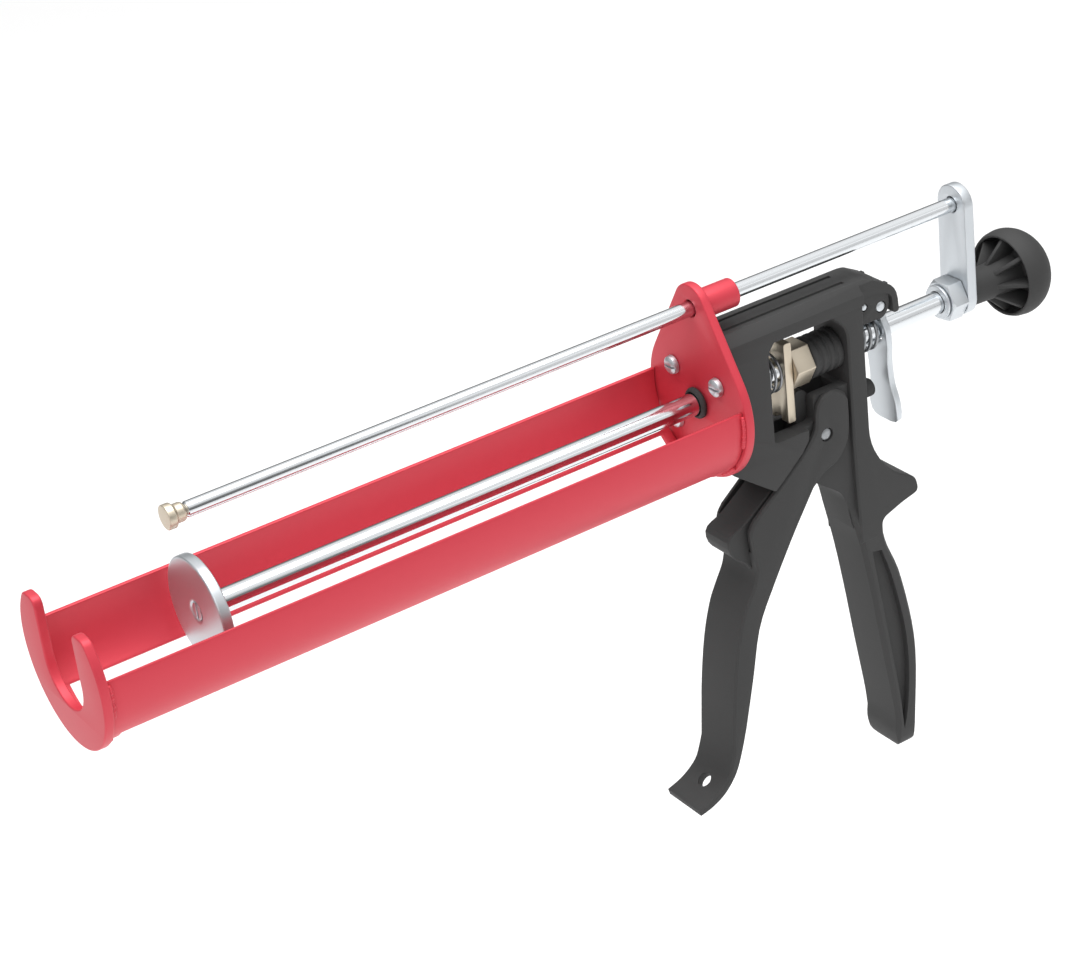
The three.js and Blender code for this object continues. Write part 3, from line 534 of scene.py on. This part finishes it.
def strip_tree():
    """A strip of rolled sheet: a flat grid bent round the rod's axis between two angles."""
    tree, given = new_tree("rolled strip", [
        ("Length", "NodeSocketFloat"), ("Start", "NodeSocketFloat"), ("Radius", "NodeSocketFloat"),
        ("From angle", "NodeSocketFloat"), ("Sweep", "NodeSocketFloat"),
        ("Axis height", "NodeSocketFloat"), ("Steps", "NodeSocketInt"),
    ])
    grid = add_node(tree, "GeometryNodeMeshGrid", {
        "Size X": given["Length"], "Size Y": given["Sweep"], "Vertices X": 2,
        "Vertices Y": given["Steps"],
    })
    here = add_node(tree, "ShaderNodeSeparateXYZ", {
        "Vector": add_node(tree, "GeometryNodeInputPosition").outputs["Position"],
    })
    half_sweep = add_node(tree, "ShaderNodeMath", {0: given["Sweep"], 1: 0.5}, operation="MULTIPLY")
    half_length = add_node(tree, "ShaderNodeMath", {0: given["Length"], 1: 0.5}, operation="MULTIPLY")
    centred = add_node(
        tree, "ShaderNodeMath", {0: given["From angle"], 1: half_sweep.outputs[0]}, operation="ADD"
    )
    angle = add_node(
        tree, "ShaderNodeMath", {0: here.outputs["Y"], 1: centred.outputs[0]}, operation="ADD"
    ).outputs[0]
    sine = add_node(tree, "ShaderNodeMath", {0: angle}, operation="SINE").outputs[0]
    cosine = add_node(tree, "ShaderNodeMath", {0: angle}, operation="COSINE").outputs[0]
    across = add_node(tree, "ShaderNodeMath", {0: sine, 1: given["Radius"]}, operation="MULTIPLY")
    drop = add_node(tree, "ShaderNodeMath", {0: cosine, 1: given["Radius"]}, operation="MULTIPLY")
    height = add_node(
        tree, "ShaderNodeMath", {0: given["Axis height"], 1: drop.outputs[0]}, operation="SUBTRACT"
    )
    start = add_node(
        tree, "ShaderNodeMath", {0: given["Start"], 1: half_length.outputs[0]}, operation="ADD"
    )
    along = add_node(tree, "ShaderNodeMath", {0: here.outputs["X"], 1: start.outputs[0]}, operation="ADD")
    bent = add_node(tree, "ShaderNodeCombineXYZ", {
        "X": along.outputs[0], "Y": across.outputs[0], "Z": height.outputs[0],
    })
    rolled = add_node(tree, "GeometryNodeSetPosition", {
        "Geometry": grid.outputs["Mesh"], "Position": bent.outputs["Vector"],
    })
    return end_tree(tree, given, rolled.outputs["Geometry"])


def coil_tree():
    """A coil spring along X: round wire swept along a helix, with closed ends."""
    tree, given = new_tree("coil spring", [
        ("Start", "NodeSocketVector"), ("Length", "NodeSocketFloat"), ("Radius", "NodeSocketFloat"),
        ("Wire", "NodeSocketFloat"), ("Turns", "NodeSocketFloat"),
    ])
    helix = add_node(tree, "GeometryNodeCurveSpiral", {
        "Resolution": 40, "Rotations": given["Turns"], "Start Radius": given["Radius"],
        "End Radius": given["Radius"], "Height": given["Length"],
    })
    laid = add_node(tree, "GeometryNodeTransform", {
        "Geometry": helix.outputs["Curve"], "Translation": given["Start"],
        "Rotation": Euler((0, math.pi / 2, 0)),
    })
    section = add_node(tree, "GeometryNodeCurvePrimitiveCircle", {"Resolution": 12, "Radius": given["Wire"]})
    wire = add_node(tree, "GeometryNodeCurveToMesh", {
        "Curve": laid.outputs["Geometry"], "Profile Curve": section.outputs["Curve"], "Fill Caps": True,
    })
    return end_tree(tree, given, wire.outputs["Mesh"])


def copies_tree():
    """Copies of one piece on the points of a mesh, each turned a further step about X."""
    tree, given = new_tree(
        "copies on points",
        [("Piece", "NodeSocketObject"), ("Turn", "NodeSocketFloat")], takes_geometry=True,
    )
    piece = add_node(tree, "GeometryNodeObjectInfo", {"Object": given["Piece"]})
    index = add_node(tree, "GeometryNodeInputIndex")
    turn = add_node(
        tree, "ShaderNodeMath", {0: index.outputs["Index"], 1: given["Turn"]}, operation="MULTIPLY"
    )
    euler = add_node(tree, "ShaderNodeCombineXYZ", {"X": turn.outputs[0]})
    rotation = add_node(tree, "FunctionNodeEulerToRotation", {"Euler": euler.outputs["Vector"]})
    copies = add_node(tree, "GeometryNodeInstanceOnPoints", {
        "Points": given["Geometry"], "Instance": piece.outputs["Geometry"],
        "Rotation": rotation.outputs["Rotation"],
    })
    return end_tree(tree, given, copies.outputs["Instances"])


def bead_tree():
    """A run of weld: overlapping drops of slightly different size along a row of points."""
    tree, given = new_tree(
        "weld bead", [("Drop", "NodeSocketFloat"), ("Seed", "NodeSocketInt")], takes_geometry=True,
    )
    drop = add_node(tree, "GeometryNodeMeshIcoSphere", {"Radius": given["Drop"], "Subdivisions": 3})
    size = add_node(tree, "FunctionNodeRandomValue", {"Seed": given["Seed"]}, data_type="FLOAT")
    # The node's number range is its third and fourth input, which share their names with other types.
    size.inputs[2].default_value = 0.8
    size.inputs[3].default_value = 1.1
    copies = add_node(tree, "GeometryNodeInstanceOnPoints", {
        "Points": given["Geometry"], "Instance": drop.outputs["Mesh"], "Scale": size.outputs[1],
    })
    return end_tree(tree, given, copies.outputs["Instances"])


def points_mesh(name, places):
    """A mesh of loose points."""
    mesh = bpy.data.meshes.new(name)
    mesh.from_pydata([tuple(p) for p in places], [], [])
    return mesh


# ---- pieces -------------------------------------------------------------------------------


class GUN_OT_cradle(bpy.types.Operator):
    """Rolls the open cradle and rounds its cut edges"""

    bl_idname = "gun.cradle"
    bl_label = "Cradle"

    def execute(self, context):
        sizes = context.scene.gun_sizes
        top = math.pi / 2 + math.asin(CRADLE_RISE / CRADLE_RADIUS)
        opening = sizes.slot_angle
        bands = [(-top, top - opening, 26), (-opening, 2 * opening, 36), (opening, top - opening, 26)]
        total = CRADLE_HIGH.x - CRADLE_LOW.x
        runs = [
            (CRADLE_LOW.x, sizes.land),
            (CRADLE_LOW.x + sizes.land, total - 2 * sizes.land),
            (CRADLE_HIGH.x - sizes.land, sizes.land),
        ]
        tree = strip_tree()
        strips = []
        for column, (start, run) in enumerate(runs):
            for row, (angle, sweep, steps) in enumerate(bands):
                if column == 1 and row == 1:
                    continue
                strips.append(grown(
                    f"cradle_strip_{column}{row}", tree, Start=start, Length=run, From_angle=angle,
                    Sweep=sweep, Steps=steps, Radius=CRADLE_RADIUS, Axis_height=ROD_Z,
                    Material=finish_named("red_powder_coat"),
                ))
        skin = joined("cradle_sheet", strips)
        shape = bmesh.new()
        shape.from_mesh(skin.data)
        bmesh.ops.remove_doubles(shape, verts=shape.verts, dist=1e-5)
        bmesh.ops.recalc_face_normals(shape, faces=shape.faces)
        first = shape.faces[0]
        outward = first.calc_center_median() - Vector((first.calc_center_median().x, ROD_Y, ROD_Z))
        if first.normal.dot(outward) < 0:
            bmesh.ops.reverse_faces(shape, faces=shape.faces)
        shape.to_mesh(skin.data)
        shape.free()
        wall = skin.modifiers.new("sheet thickness", "SOLIDIFY")
        wall.thickness = sizes.sheet
        wall.offset = -1
        bake_modifiers(skin)
        round_edges(skin, 0.35 * MM, segments=2, angle=50)
        hand_over(skin, "frame", "red_powder_coat", ["cradle"])
        return {"FINISHED"}


class GUN_OT_end_plates(bpy.types.Operator):
    """Cuts the notched muzzle plate, the teardrop back plate and the thin rod's guide tube"""

    bl_idname = "gun.end_plates"
    bl_label = "End plates"

    def execute(self, context):
        sizes = context.scene.gun_sizes
        low, high = corners("front_plate")
        radius = (high.y - low.y) / 2
        top = high.z - ROD_Z
        horn = 5 * MM
        notch = sizes.notch
        out_angle = math.degrees(math.asin((top - horn) / radius))
        out_y = math.sqrt(radius ** 2 - top ** 2)
        tip = softened([
            (radius * math.cos(math.radians(out_angle)), top - horn), (out_y + 0.4 * MM, top),
            (notch, top), (notch, top - 2 * horn),
        ], horn, 8)
        right = [(ROD_Y + y, ROD_Z + z) for y, z in tip]
        left = [(ROD_Y - y, ROD_Z + z) for y, z in reversed(tip)]
        floor_centre = (ROD_Y, ROD_Z - sizes.notch_drop)
        inner = arc(floor_centre, notch, 360, 180, 48)
        outer = arc((ROD_Y, ROD_Z), radius, 180 - out_angle, 360 + out_angle, 120)
        ring = right + inner + left + outer[1:-1]
        muzzle = pressed_plate("muzzle_plate", [ring], low.x, high.x - low.x, sizes.press_edge)
        hand_over(muzzle, "frame", "red_powder_coat", ["front_plate"])

        low, high = corners("back_plate")
        back = pressed_plate("teardrop_plate", [
            teardrop((high.y - low.y) / 2, sizes.ear),
            hole((ROD_Y, ROD_Z), RUNNING_BORE),
            hole((THIN_Y, THIN_Z), THIN_RUNNING_BORE),
        ], low.x, high.x - low.x, sizes.press_edge)
        hand_over(back, "frame", "red_powder_coat", ["back_plate"])

        low, high = corners("rod_guide_bush")
        outer_r = (high.y - low.y) / 2
        bore = THIN_RUNNING_BORE
        tube = turned("guide_tube", softened([
            (high.x, bore + 0.1 * MM), (high.x, outer_r), (low.x, outer_r), (low.x, bore), (high.x, bore),
        ], 0.6 * MM)[:-1], THIN_Y, THIN_Z)
        hand_over(tube, "frame", "red_powder_coat", ["rod_guide_bush"])
        return {"FINISHED"}


class GUN_OT_weld_beads(bpy.types.Operator):
    """Runs short welds along the joints between the cradle and its two plates"""

    bl_idname = "gun.weld_beads"
    bl_label = "Weld beads"

    def execute(self, context):
        sizes = context.scene.gun_sizes
        tree = bead_tree()
        off_plate, off_sheet, drop_pitch = 0.5 * MM, 0.25 * MM, 1.1 * MM
        middles, drops_each_side = (-58, -5, 185, 238), 6
        stations = {
            "front": corners("front_plate")[0].x - off_plate,
            "rear": corners("back_plate")[1].x + off_plate,
        }
        radius = CRADLE_RADIUS + off_sheet
        turn = drop_pitch / radius
        for end, x in stations.items():
            places = []
            for middle in middles:
                for step in range(-drops_each_side, drops_each_side + 1):
                    a = math.radians(middle) + step * turn
                    places.append((x, ROD_Y + radius * math.cos(a), ROD_Z + radius * math.sin(a)))
            bead = grown(
                f"weld_bead_{end}", tree, base=points_mesh(f"weld_places_{end}", places),
                Drop=sizes.bead, Seed=7, Material=finish_named("red_powder_coat"),
            )
            hand_over(bead, "frame", "red_powder_coat", crease=60)
        return {"FINISHED"}


class GUN_OT_plate_hardware(bpy.types.Operator):
    """Sets the collar and the four slotted screws on the face of the back plate"""

    bl_idname = "gun.plate_hardware"
    bl_label = "Plate collar and screws"

    def execute(self, context):
        low, high = corners("rod_collar")
        outer_r = (high.y - low.y) / 2
        bore = RUNNING_BORE
        ring = softened([
            (low.x, bore), (low.x, outer_r), (high.x - 1 * MM, outer_r), (high.x, outer_r - 1.2 * MM),
            (high.x, bore), (low.x, bore),
        ], 0.5 * MM)[:-1]
        collar = turned("rod_collar_ring", ring, ROD_Y, ROD_Z)
        hand_over(collar, "frame", "black_glass_filled_nylon", ["rod_collar"])
        for node in sorted(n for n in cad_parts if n.startswith("plate_screw")):
            screw = welded_copy(node, f"{node}_head")
            round_edges(screw, 0.3 * MM)
            hand_over(screw, "frame", "zinc_plated_steel", [node])
        return {"FINISHED"}


class GUN_OT_rods(bpy.types.Operator):
    """Turns the thick and the thin push rod with chamfered ends"""

    bl_idname = "gun.rods"
    bl_label = "Rods"

    def execute(self, context):
        for node, name in (("main_rod", "thick_push_rod"), ("thin_rod", "thin_push_rod")):
            low, high = corners(node)
            radius = (high.y - low.y) / 2
            chamfer = 0.8 * MM
            profile = [
                (high.x, 0), (high.x, radius - chamfer), (high.x - chamfer, radius),
                (low.x + chamfer, radius), (low.x, radius - chamfer), (low.x, 0),
            ]
            rod = turned(name, profile, *axis_of(node), steps=64)
            hand_over(rod, "carriage", "plated_rod_steel", [node])
        return {"FINISHED"}


class GUN_OT_pushers(bpy.types.Operator):
    """Makes the round pusher, its screw and the small pusher on the thin rod"""

    bl_idname = "gun.pushers"
    bl_label = "Pushers"

    def execute(self, context):
        low, high = corners("pusher_disc")
        radius = (high.y - low.y) / 2
        screw_hole, sink = 2.5 * MM, 4.4 * MM
        dish = low.x + 2 * MM
        rim = softened([
            (high.x - 3 * MM, screw_hole), (high.x - 2.2 * MM, 2.8 * MM), (high.x, sink),
            (high.x, radius), (low.x, radius), (low.x, radius - 1.8 * MM),
            (dish, radius - 3.4 * MM), (dish, 8.4 * MM), (low.x, 7 * MM),
            (low.x, screw_hole), (high.x - 3 * MM, screw_hole),
        ], 1.1 * MM, 6)[:-1]
        disc = turned("pusher_plate", rim, *axis_of("pusher_disc"), steps=128)
        hand_over(disc, "carriage", "zinc_plated_steel", ["pusher_disc"])

        screw = welded_copy("disc_screw", "pusher_screw")
        round_edges(screw, 0.25 * MM)
        hand_over(screw, "carriage", "zinc_plated_steel", ["disc_screw"])

        low, high = corners("small_plunger")
        head = (high.y - low.y) / 2
        neck = head - 1.2 * MM
        spool = softened([
            (high.x, 0), (high.x, head), (high.x - 3.2 * MM, head), (high.x - 4 * MM, neck),
            (low.x + 1 * MM, neck), (low.x, head - 1.8 * MM), (low.x, 0),
        ], 0.5 * MM)
        plunger = turned("small_pusher_head", spool, *axis_of("small_plunger"))
        hand_over(plunger, "carriage", "yellow_passivated_steel", ["small_plunger"])
        return {"FINISHED"}


class GUN_OT_rear_strap(bpy.types.Operator):
    """Cuts the strap that ties both rods, with its nut, washer and rivet"""

    bl_idname = "gun.rear_strap"
    bl_label = "Rear strap"

    def execute(self, context):
        low, high = corners("rear_strap")
        half = (high.y - low.y) / 2
        strap = pressed_plate("rod_strap", [
            teardrop(half, half - 0.4 * MM),
            hole((ROD_Y, ROD_Z), TIED_BORE),
            hole((THIN_Y, THIN_Z), THIN_TIED_BORE),
        ], low.x, high.x - low.x, 0.6 * MM)
        hand_over(strap, "carriage", "zinc_plated_steel", ["rear_strap"])

        nut = welded_copy("strap_nut", "strap_hex_nut")
        round_edges(nut, 0.35 * MM, angle=20)
        hand_over(nut, "carriage", "zinc_plated_steel", ["strap_nut"])

        low, high = corners("nut_washer")
        radius = (high.y - low.y) / 2
        washer = turned("strap_washer", softened([
            (high.x, TIED_BORE), (high.x, radius), (low.x, radius), (low.x, TIED_BORE),
            (high.x, TIED_BORE),
        ], 0.5 * MM)[:-1], ROD_Y, ROD_Z)
        hand_over(washer, "carriage", "zinc_plated_steel", ["nut_washer"])

        low, high = corners("thin_rod_rivet")
        radius = (high.y - low.y) / 2
        dome = [(high.x, 0), (high.x, radius)] + [
            (high.x - (high.x - low.x) * math.sin(t), radius * math.cos(t))
            for t in (math.pi / 2 * i / 10 for i in range(1, 10))
        ] + [(low.x, 0)]
        rivet = turned("strap_rivet", dome, THIN_Y, THIN_Z)
        hand_over(rivet, "carriage", "zinc_plated_steel", ["thin_rod_rivet"])
        return {"FINISHED"}


class GUN_OT_pull_knob(bpy.types.Operator):
    """Moulds the mushroom knob and sets the ribs in its hollow underside"""

    bl_idname = "gun.pull_knob"
    bl_label = "Pull knob"

    def execute(self, context):
        sizes = context.scene.gun_sizes
        low, high = corners("pull_knob")
        radius = (high.y - low.y) / 2
        widest = high.x - 27 * MM
        # the hollow side from the rod's end outwards: mm behind the front face, and radius in mm
        under = [
            (-17.3, 0), (-17.3, 5.1), (0, 5.1), (0, 7.4), (-15, 7.9), (-27, 9), (-29.5, 12),
            (-28.5, 15.5), (-24, 17), (-21.6, 17.3), (-21.3, 18.3), (-23.5, radius / MM - 0.4),
        ]
        hollow = softened([(high.x + x * MM, r * MM) for x, r in under], 0.8 * MM)
        reach = widest - low.x
        dome = [
            (widest - reach * math.sin(t), radius * math.cos(t))
            for t in (math.pi / 2 * i / 24 for i in range(24))
        ]
        shell = turned("knob_shell", hollow + dome + [(low.x, 0)], ROD_Y, ROD_Z, steps=96)

        rib_outline = [(-12, 7.2), (-22.6, 16.9), (-29.6, 16.9), (-29.6, 7.2)]
        shape = bmesh.new()
        sides = []
        for side in (-0.5, 0.5):
            sides.append([
                shape.verts.new((high.x + x * MM, side * sizes.rib, r * MM)) for x, r in rib_outline
            ])
        shape.faces.new(sides[0])
        shape.faces.new(reversed(sides[1]))
        for i in range(4):
            j = (i + 1) % 4
            shape.faces.new([sides[0][j], sides[0][i], sides[1][i], sides[1][j]])
        rib = linked("knob_rib", mesh_from(shape, "knob_rib"))
        round_edges(rib, 0.35 * MM, segments=2)
        count = 8
        ribs = grown(
            "knob_ribs", copies_tree(), base=points_mesh("rib_places", [(0, ROD_Y, ROD_Z)] * count),
            Piece=rib, Turn=FULL_TURN / count, Material=finish_named("black_glass_filled_nylon"),
        )
        bpy.data.objects.remove(rib)
        knob = joined("mushroom_knob", [shell, ribs])
        hand_over(knob, "carriage", "black_glass_filled_nylon", ["pull_knob"])
        return {"FINISHED"}


class GUN_OT_handle(bpy.types.Operator):
    """Rounds the moulded handle body and the tube round the rod in its bay"""

    bl_idname = "gun.handle"
    bl_label = "Handle body"

    def execute(self, context):
        sizes = context.scene.gun_sizes
        body = welded_copy("handle_body", "moulded_handle")
        round_edges(body, sizes.mould_edge, angle=28)
        hand_over(body, "frame", "black_glass_filled_nylon", ["handle_body"], crease=40)

        low, high = corners("rod_barrel")
        radius = (high.y - low.y) / 2
        profile = [(high.x, BARREL_BORE), (high.x, radius - 1 * MM), (high.x - 1 * MM, radius)]
        pitch, floor, end_land = 4 * MM, radius - 0.7 * MM, 3 * MM
        start = high.x - end_land
        for i in range(math.ceil((start - low.x - end_land) / pitch)):
            x = start - i * pitch
            profile += [
                (x, radius), (x - 0.5 * MM, floor), (x - 1.5 * MM, floor), (x - 2 * MM, radius),
            ]
        profile += [(low.x, radius), (low.x, BARREL_BORE), (high.x, BARREL_BORE)]
        barrel = turned("rod_barrel_tube", softened(profile, 0.4 * MM)[:-1], ROD_Y, ROD_Z)
        hand_over(barrel, "frame", "black_glass_filled_nylon", ["rod_barrel"])
        return {"FINISHED"}


class GUN_OT_trigger(bpy.types.Operator):
    """Rounds the moulded trigger"""

    bl_idname = "gun.trigger"
    bl_label = "Trigger"

    def execute(self, context):
        trigger = welded_copy("trigger", "moulded_trigger")
        round_edges(trigger, context.scene.gun_sizes.mould_edge, angle=28)
        hand_over(trigger, "trigger_arm", "black_glass_filled_nylon", ["trigger"], crease=40)
        return {"FINISHED"}


class GUN_OT_pins(bpy.types.Operator):
    """Turns the pivot pin, the hanger pin, the cross pin and the lever's stop peg"""

    bl_idname = "gun.pins"
    bl_label = "Pins"

    def execute(self, context):
        for node in ("trigger_pivot_pin", "lever_hanger_pin", "ear_cross_pin"):
            low, high = corners(node)
            radius = (high.z - low.z) / 2
            half = (high.y - low.y) / 2
            dome = 0.45 * MM
            profile = softened([
                (half, 0), (half, radius * 0.55), (half - dome, radius), (-half + dome, radius),
                (-half, radius * 0.55), (-half, 0),
            ], 0.5 * MM)
            pin = turned(f"{node}_turned", profile, 0, 0, steps=48)
            centre = (low + high) / 2
            quarter = Matrix.Rotation(math.pi / 2, 4, "Z")
            pin.data.transform(Matrix.Translation(centre) @ quarter)
            slot = "spring_steel" if node == "trigger_pivot_pin" else "zinc_plated_steel"
            hand_over(pin, "frame", slot, [node])
        low, high = corners("lever_stop_peg")
        radius = (high.y - low.y) / 2
        peg = turned("lever_stop_stub", softened([
            (high.x, 0), (high.x, radius), (low.x, radius), (low.x, 0),
        ], 0.9 * MM), *axis_of("lever_stop_peg"))
        hand_over(peg, "frame", "black_glass_filled_nylon", ["lever_stop_peg"])
        return {"FINISHED"}


class GUN_OT_drive(bpy.types.Operator):
    """Rounds the forked drive plate and the six-sided sleeve behind it"""

    bl_idname = "gun.drive"
    bl_label = "Drive parts"

    def execute(self, context):
        for node, name in (("drive_plate", "forked_drive_plate"), ("drive_sleeve", "six_sided_sleeve")):
            piece = welded_copy(node, name)
            round_edges(piece, 0.5 * MM, angle=25)
            hand_over(piece, "drive", "yellow_passivated_steel", [node])
        return {"FINISHED"}


class GUN_OT_release_lever(bpy.types.Operator):
    """Rounds the sheet-steel release lever with its flared thumb tab"""

    bl_idname = "gun.release_lever"
    bl_label = "Release lever"

    def execute(self, context):
        lever = welded_copy("release_lever", "thumb_release_lever")
        round_edges(lever, 0.35 * MM, angle=28)
        hand_over(lever, "release", "zinc_plated_steel", ["release_lever"])
        return {"FINISHED"}


class GUN_OT_springs(bpy.types.Operator):
    """Winds the drive spring and the release spring round the rod"""

    bl_idname = "gun.springs"
    bl_label = "Springs"

    def execute(self, context):
        sizes = context.scene.gun_sizes
        tree = coil_tree()
        for node, pusher, wire, turns in (
            ("drive_spring", "drive", sizes.drive_wire, 3.5),
            ("release_spring", "release", sizes.release_wire, 4.0),
        ):
            low, high = corners(node)
            coil_radius = (high.y - low.y) / 2 - wire
            start = Vector((low.x + wire, ROD_Y, ROD_Z))
            coil = grown(
                f"{node}_coil", tree, Start=start, Length=high.x - low.x - 2 * wire,
                Radius=coil_radius, Wire=wire, Turns=turns, Material=finish_named("spring_steel"),
            )
            # the points at both ends of the wire, handed to hand_over with the pusher's body, which doesn't
            # use them
            held, pushed = (high.x - 2 * wire, ROD_Y, ROD_Z), (low.x + 2 * wire, ROD_Y, ROD_Z)
            hand_over(coil, "frame", "spring_steel", [node], squeezed=(pusher, held, pushed))
        return {"FINISHED"}


# ---- stage --------------------------------------------------------------------------------

CAMERA = {
    "azimuth": 148.968, "elevation": 28.412, "roll": -6.852, "distance": 1.12464,
    "aim": (0.18327, 0.02363, 0.14739), "lens": 96.648, "sensor": 36.0,
}
FLOOR_HALF = 6.0
FLOOR_DROP = 0.25
# name, place, aim, width, height, power in watts
LIGHTS = (
    ("overhead_softbox", (0.1, 0.1, 1.7), (0.1, 0.0, 0.1), 1.6, 1.2, 22.0),
    ("front_softbox", (1.5, 1.0, 0.9), (0.1, 0.0, 0.1), 1.0, 1.2, 5.0),
    ("side_softbox", (-0.9, 1.3, 0.6), (0.0, 0.0, 0.1), 0.9, 1.1, 2.0),
)
# height above the horizon as a sine, and the room's grey there
WALLS = ((0.0, 0.12), (0.35, 0.18), (0.6, 0.75), (1.0, 1.0))
ROOM_LIGHT = 1.3


def soft_room(tree):
    """A bright ceiling over darker walls, so that plated metal shows light and dark bands."""
    way = add_node(tree, "ShaderNodeTexCoord")
    height = add_node(tree, "ShaderNodeSeparateXYZ", {"Vector": way.outputs["Generated"]})
    ramp = add_node(tree, "ShaderNodeValToRGB", {"Fac": height.outputs["Z"]})
    stops = ramp.color_ramp.elements
    stops[0].position, stops[0].color = WALLS[0][0], (WALLS[0][1],) * 3 + (1.0,)
    stops[1].position, stops[1].color = WALLS[-1][0], (WALLS[-1][1],) * 3 + (1.0,)
    for position, grey in WALLS[1:-1]:
        stops.new(position).color = (grey,) * 3 + (1.0,)
    tree.links.new(ramp.outputs["Color"], tree.nodes["Background"].inputs["Color"])
    tree.nodes["Background"].inputs["Strength"].default_value = ROOM_LIGHT


class GUN_OT_stage(bpy.types.Operator):
    """Lays the pale floor, hangs the soft lights and sets the camera"""

    bl_idname = "gun.stage"
    bl_label = "Stage"

    def execute(self, context):
        scene = context.scene
        level = CAD_BOX[0][2] - FLOOR_DROP
        mesh = bpy.data.meshes.new("pale_floor")
        mesh.from_pydata(
            [(FLOOR_HALF * x, FLOOR_HALF * y, level) for x, y in ((-1, -1), (1, -1), (1, 1), (-1, 1))],
            [], [(0, 1, 2, 3)],
        )
        floor = linked("pale_floor", mesh)
        mesh.materials.append(finish_named("pale_board"))

        world = bpy.data.worlds.new("soft studio")
        world.use_nodes = True
        soft_room(world.node_tree)
        scene.world = world

        for name, spot, aim, width, height, power in LIGHTS:
            lamp = bpy.data.lights.new(name, "AREA")
            lamp.shape = "RECTANGLE"
            lamp.size = width
            lamp.size_y = height
            lamp.energy = power
            holder = bpy.data.objects.new(name, lamp)
            holder.location = spot
            holder.rotation_euler = (Vector(aim) - Vector(spot)).to_track_quat("-Z", "Y").to_euler()
            scene.collection.objects.link(holder)

        azimuth, elevation, roll = (math.radians(CAMERA[k]) for k in ("azimuth", "elevation", "roll"))
        back = Vector((
            math.sin(azimuth) * math.cos(elevation),
            -math.cos(azimuth) * math.cos(elevation),
            math.sin(elevation),
        ))
        level_right = Vector((0, 0, 1)).cross(back).normalized()
        level_up = back.cross(level_right)
        turn = Matrix.Rotation(roll, 3, back)
        right, up = turn @ level_right, turn @ level_up
        lens = bpy.data.cameras.new("product_camera")
        lens.lens = CAMERA["lens"]
        lens.sensor_width = CAMERA["sensor"]
        lens.clip_start = 0.05
        camera = bpy.data.objects.new("product_camera", lens)
        turned_axes = Matrix((right, up, back)).transposed().to_4x4()
        spot = Vector(CAMERA["aim"]) + back * CAMERA["distance"]
        camera.matrix_world = Matrix.Translation(spot) @ turned_axes
        scene.collection.objects.link(camera)
        scene.camera = camera
        scene.view_settings.view_transform = "Standard"
        return {"FINISHED"}


PIECES = (
    GUN_OT_cradle, GUN_OT_end_plates, GUN_OT_weld_beads, GUN_OT_plate_hardware, GUN_OT_rods,
    GUN_OT_pushers, GUN_OT_rear_strap, GUN_OT_pull_knob, GUN_OT_handle, GUN_OT_trigger,
    GUN_OT_pins, GUN_OT_drive, GUN_OT_release_lever, GUN_OT_springs, GUN_OT_stage,
)


class GUN_PT_panel(bpy.types.Panel):
    """Lists the gun's pieces, sizes and colours in the sidebar"""

    bl_label = "Cartridge gun"
    bl_space_type = "VIEW_3D"
    bl_region_type = "UI"
    bl_category = "Cartridge gun"

    def draw(self, context):
        for piece in PIECES:
            self.layout.operator(piece.bl_idname)
        for group in (context.scene.gun_sizes, context.scene.gun_colours):
            for key in group.bl_rna.properties.keys():
                if key not in {"rna_type", "name"}:
                    self.layout.prop(group, key)


CLASSES = (GunSizes, GunColours) + PIECES + (GUN_PT_panel,)


def register():
    """Adds the classes and the scene's size and colour groups."""
    for cls in CLASSES:
        bpy.utils.register_class(cls)
    bpy.types.Scene.gun_sizes = bpy.props.PointerProperty(type=GunSizes)
    bpy.types.Scene.gun_colours = bpy.props.PointerProperty(type=GunColours)


def unregister():
    """Takes them away again."""
    del bpy.types.Scene.gun_colours
    del bpy.types.Scene.gun_sizes
    for cls in reversed(CLASSES):
        bpy.utils.unregister_class(cls)


def main():
    """Builds every piece and the stage."""
    register()
    for piece in PIECES:
        group, action = piece.bl_idname.split(".")
        getattr(getattr(bpy.ops, group), action)()


if __name__ == "__main__":
    main()
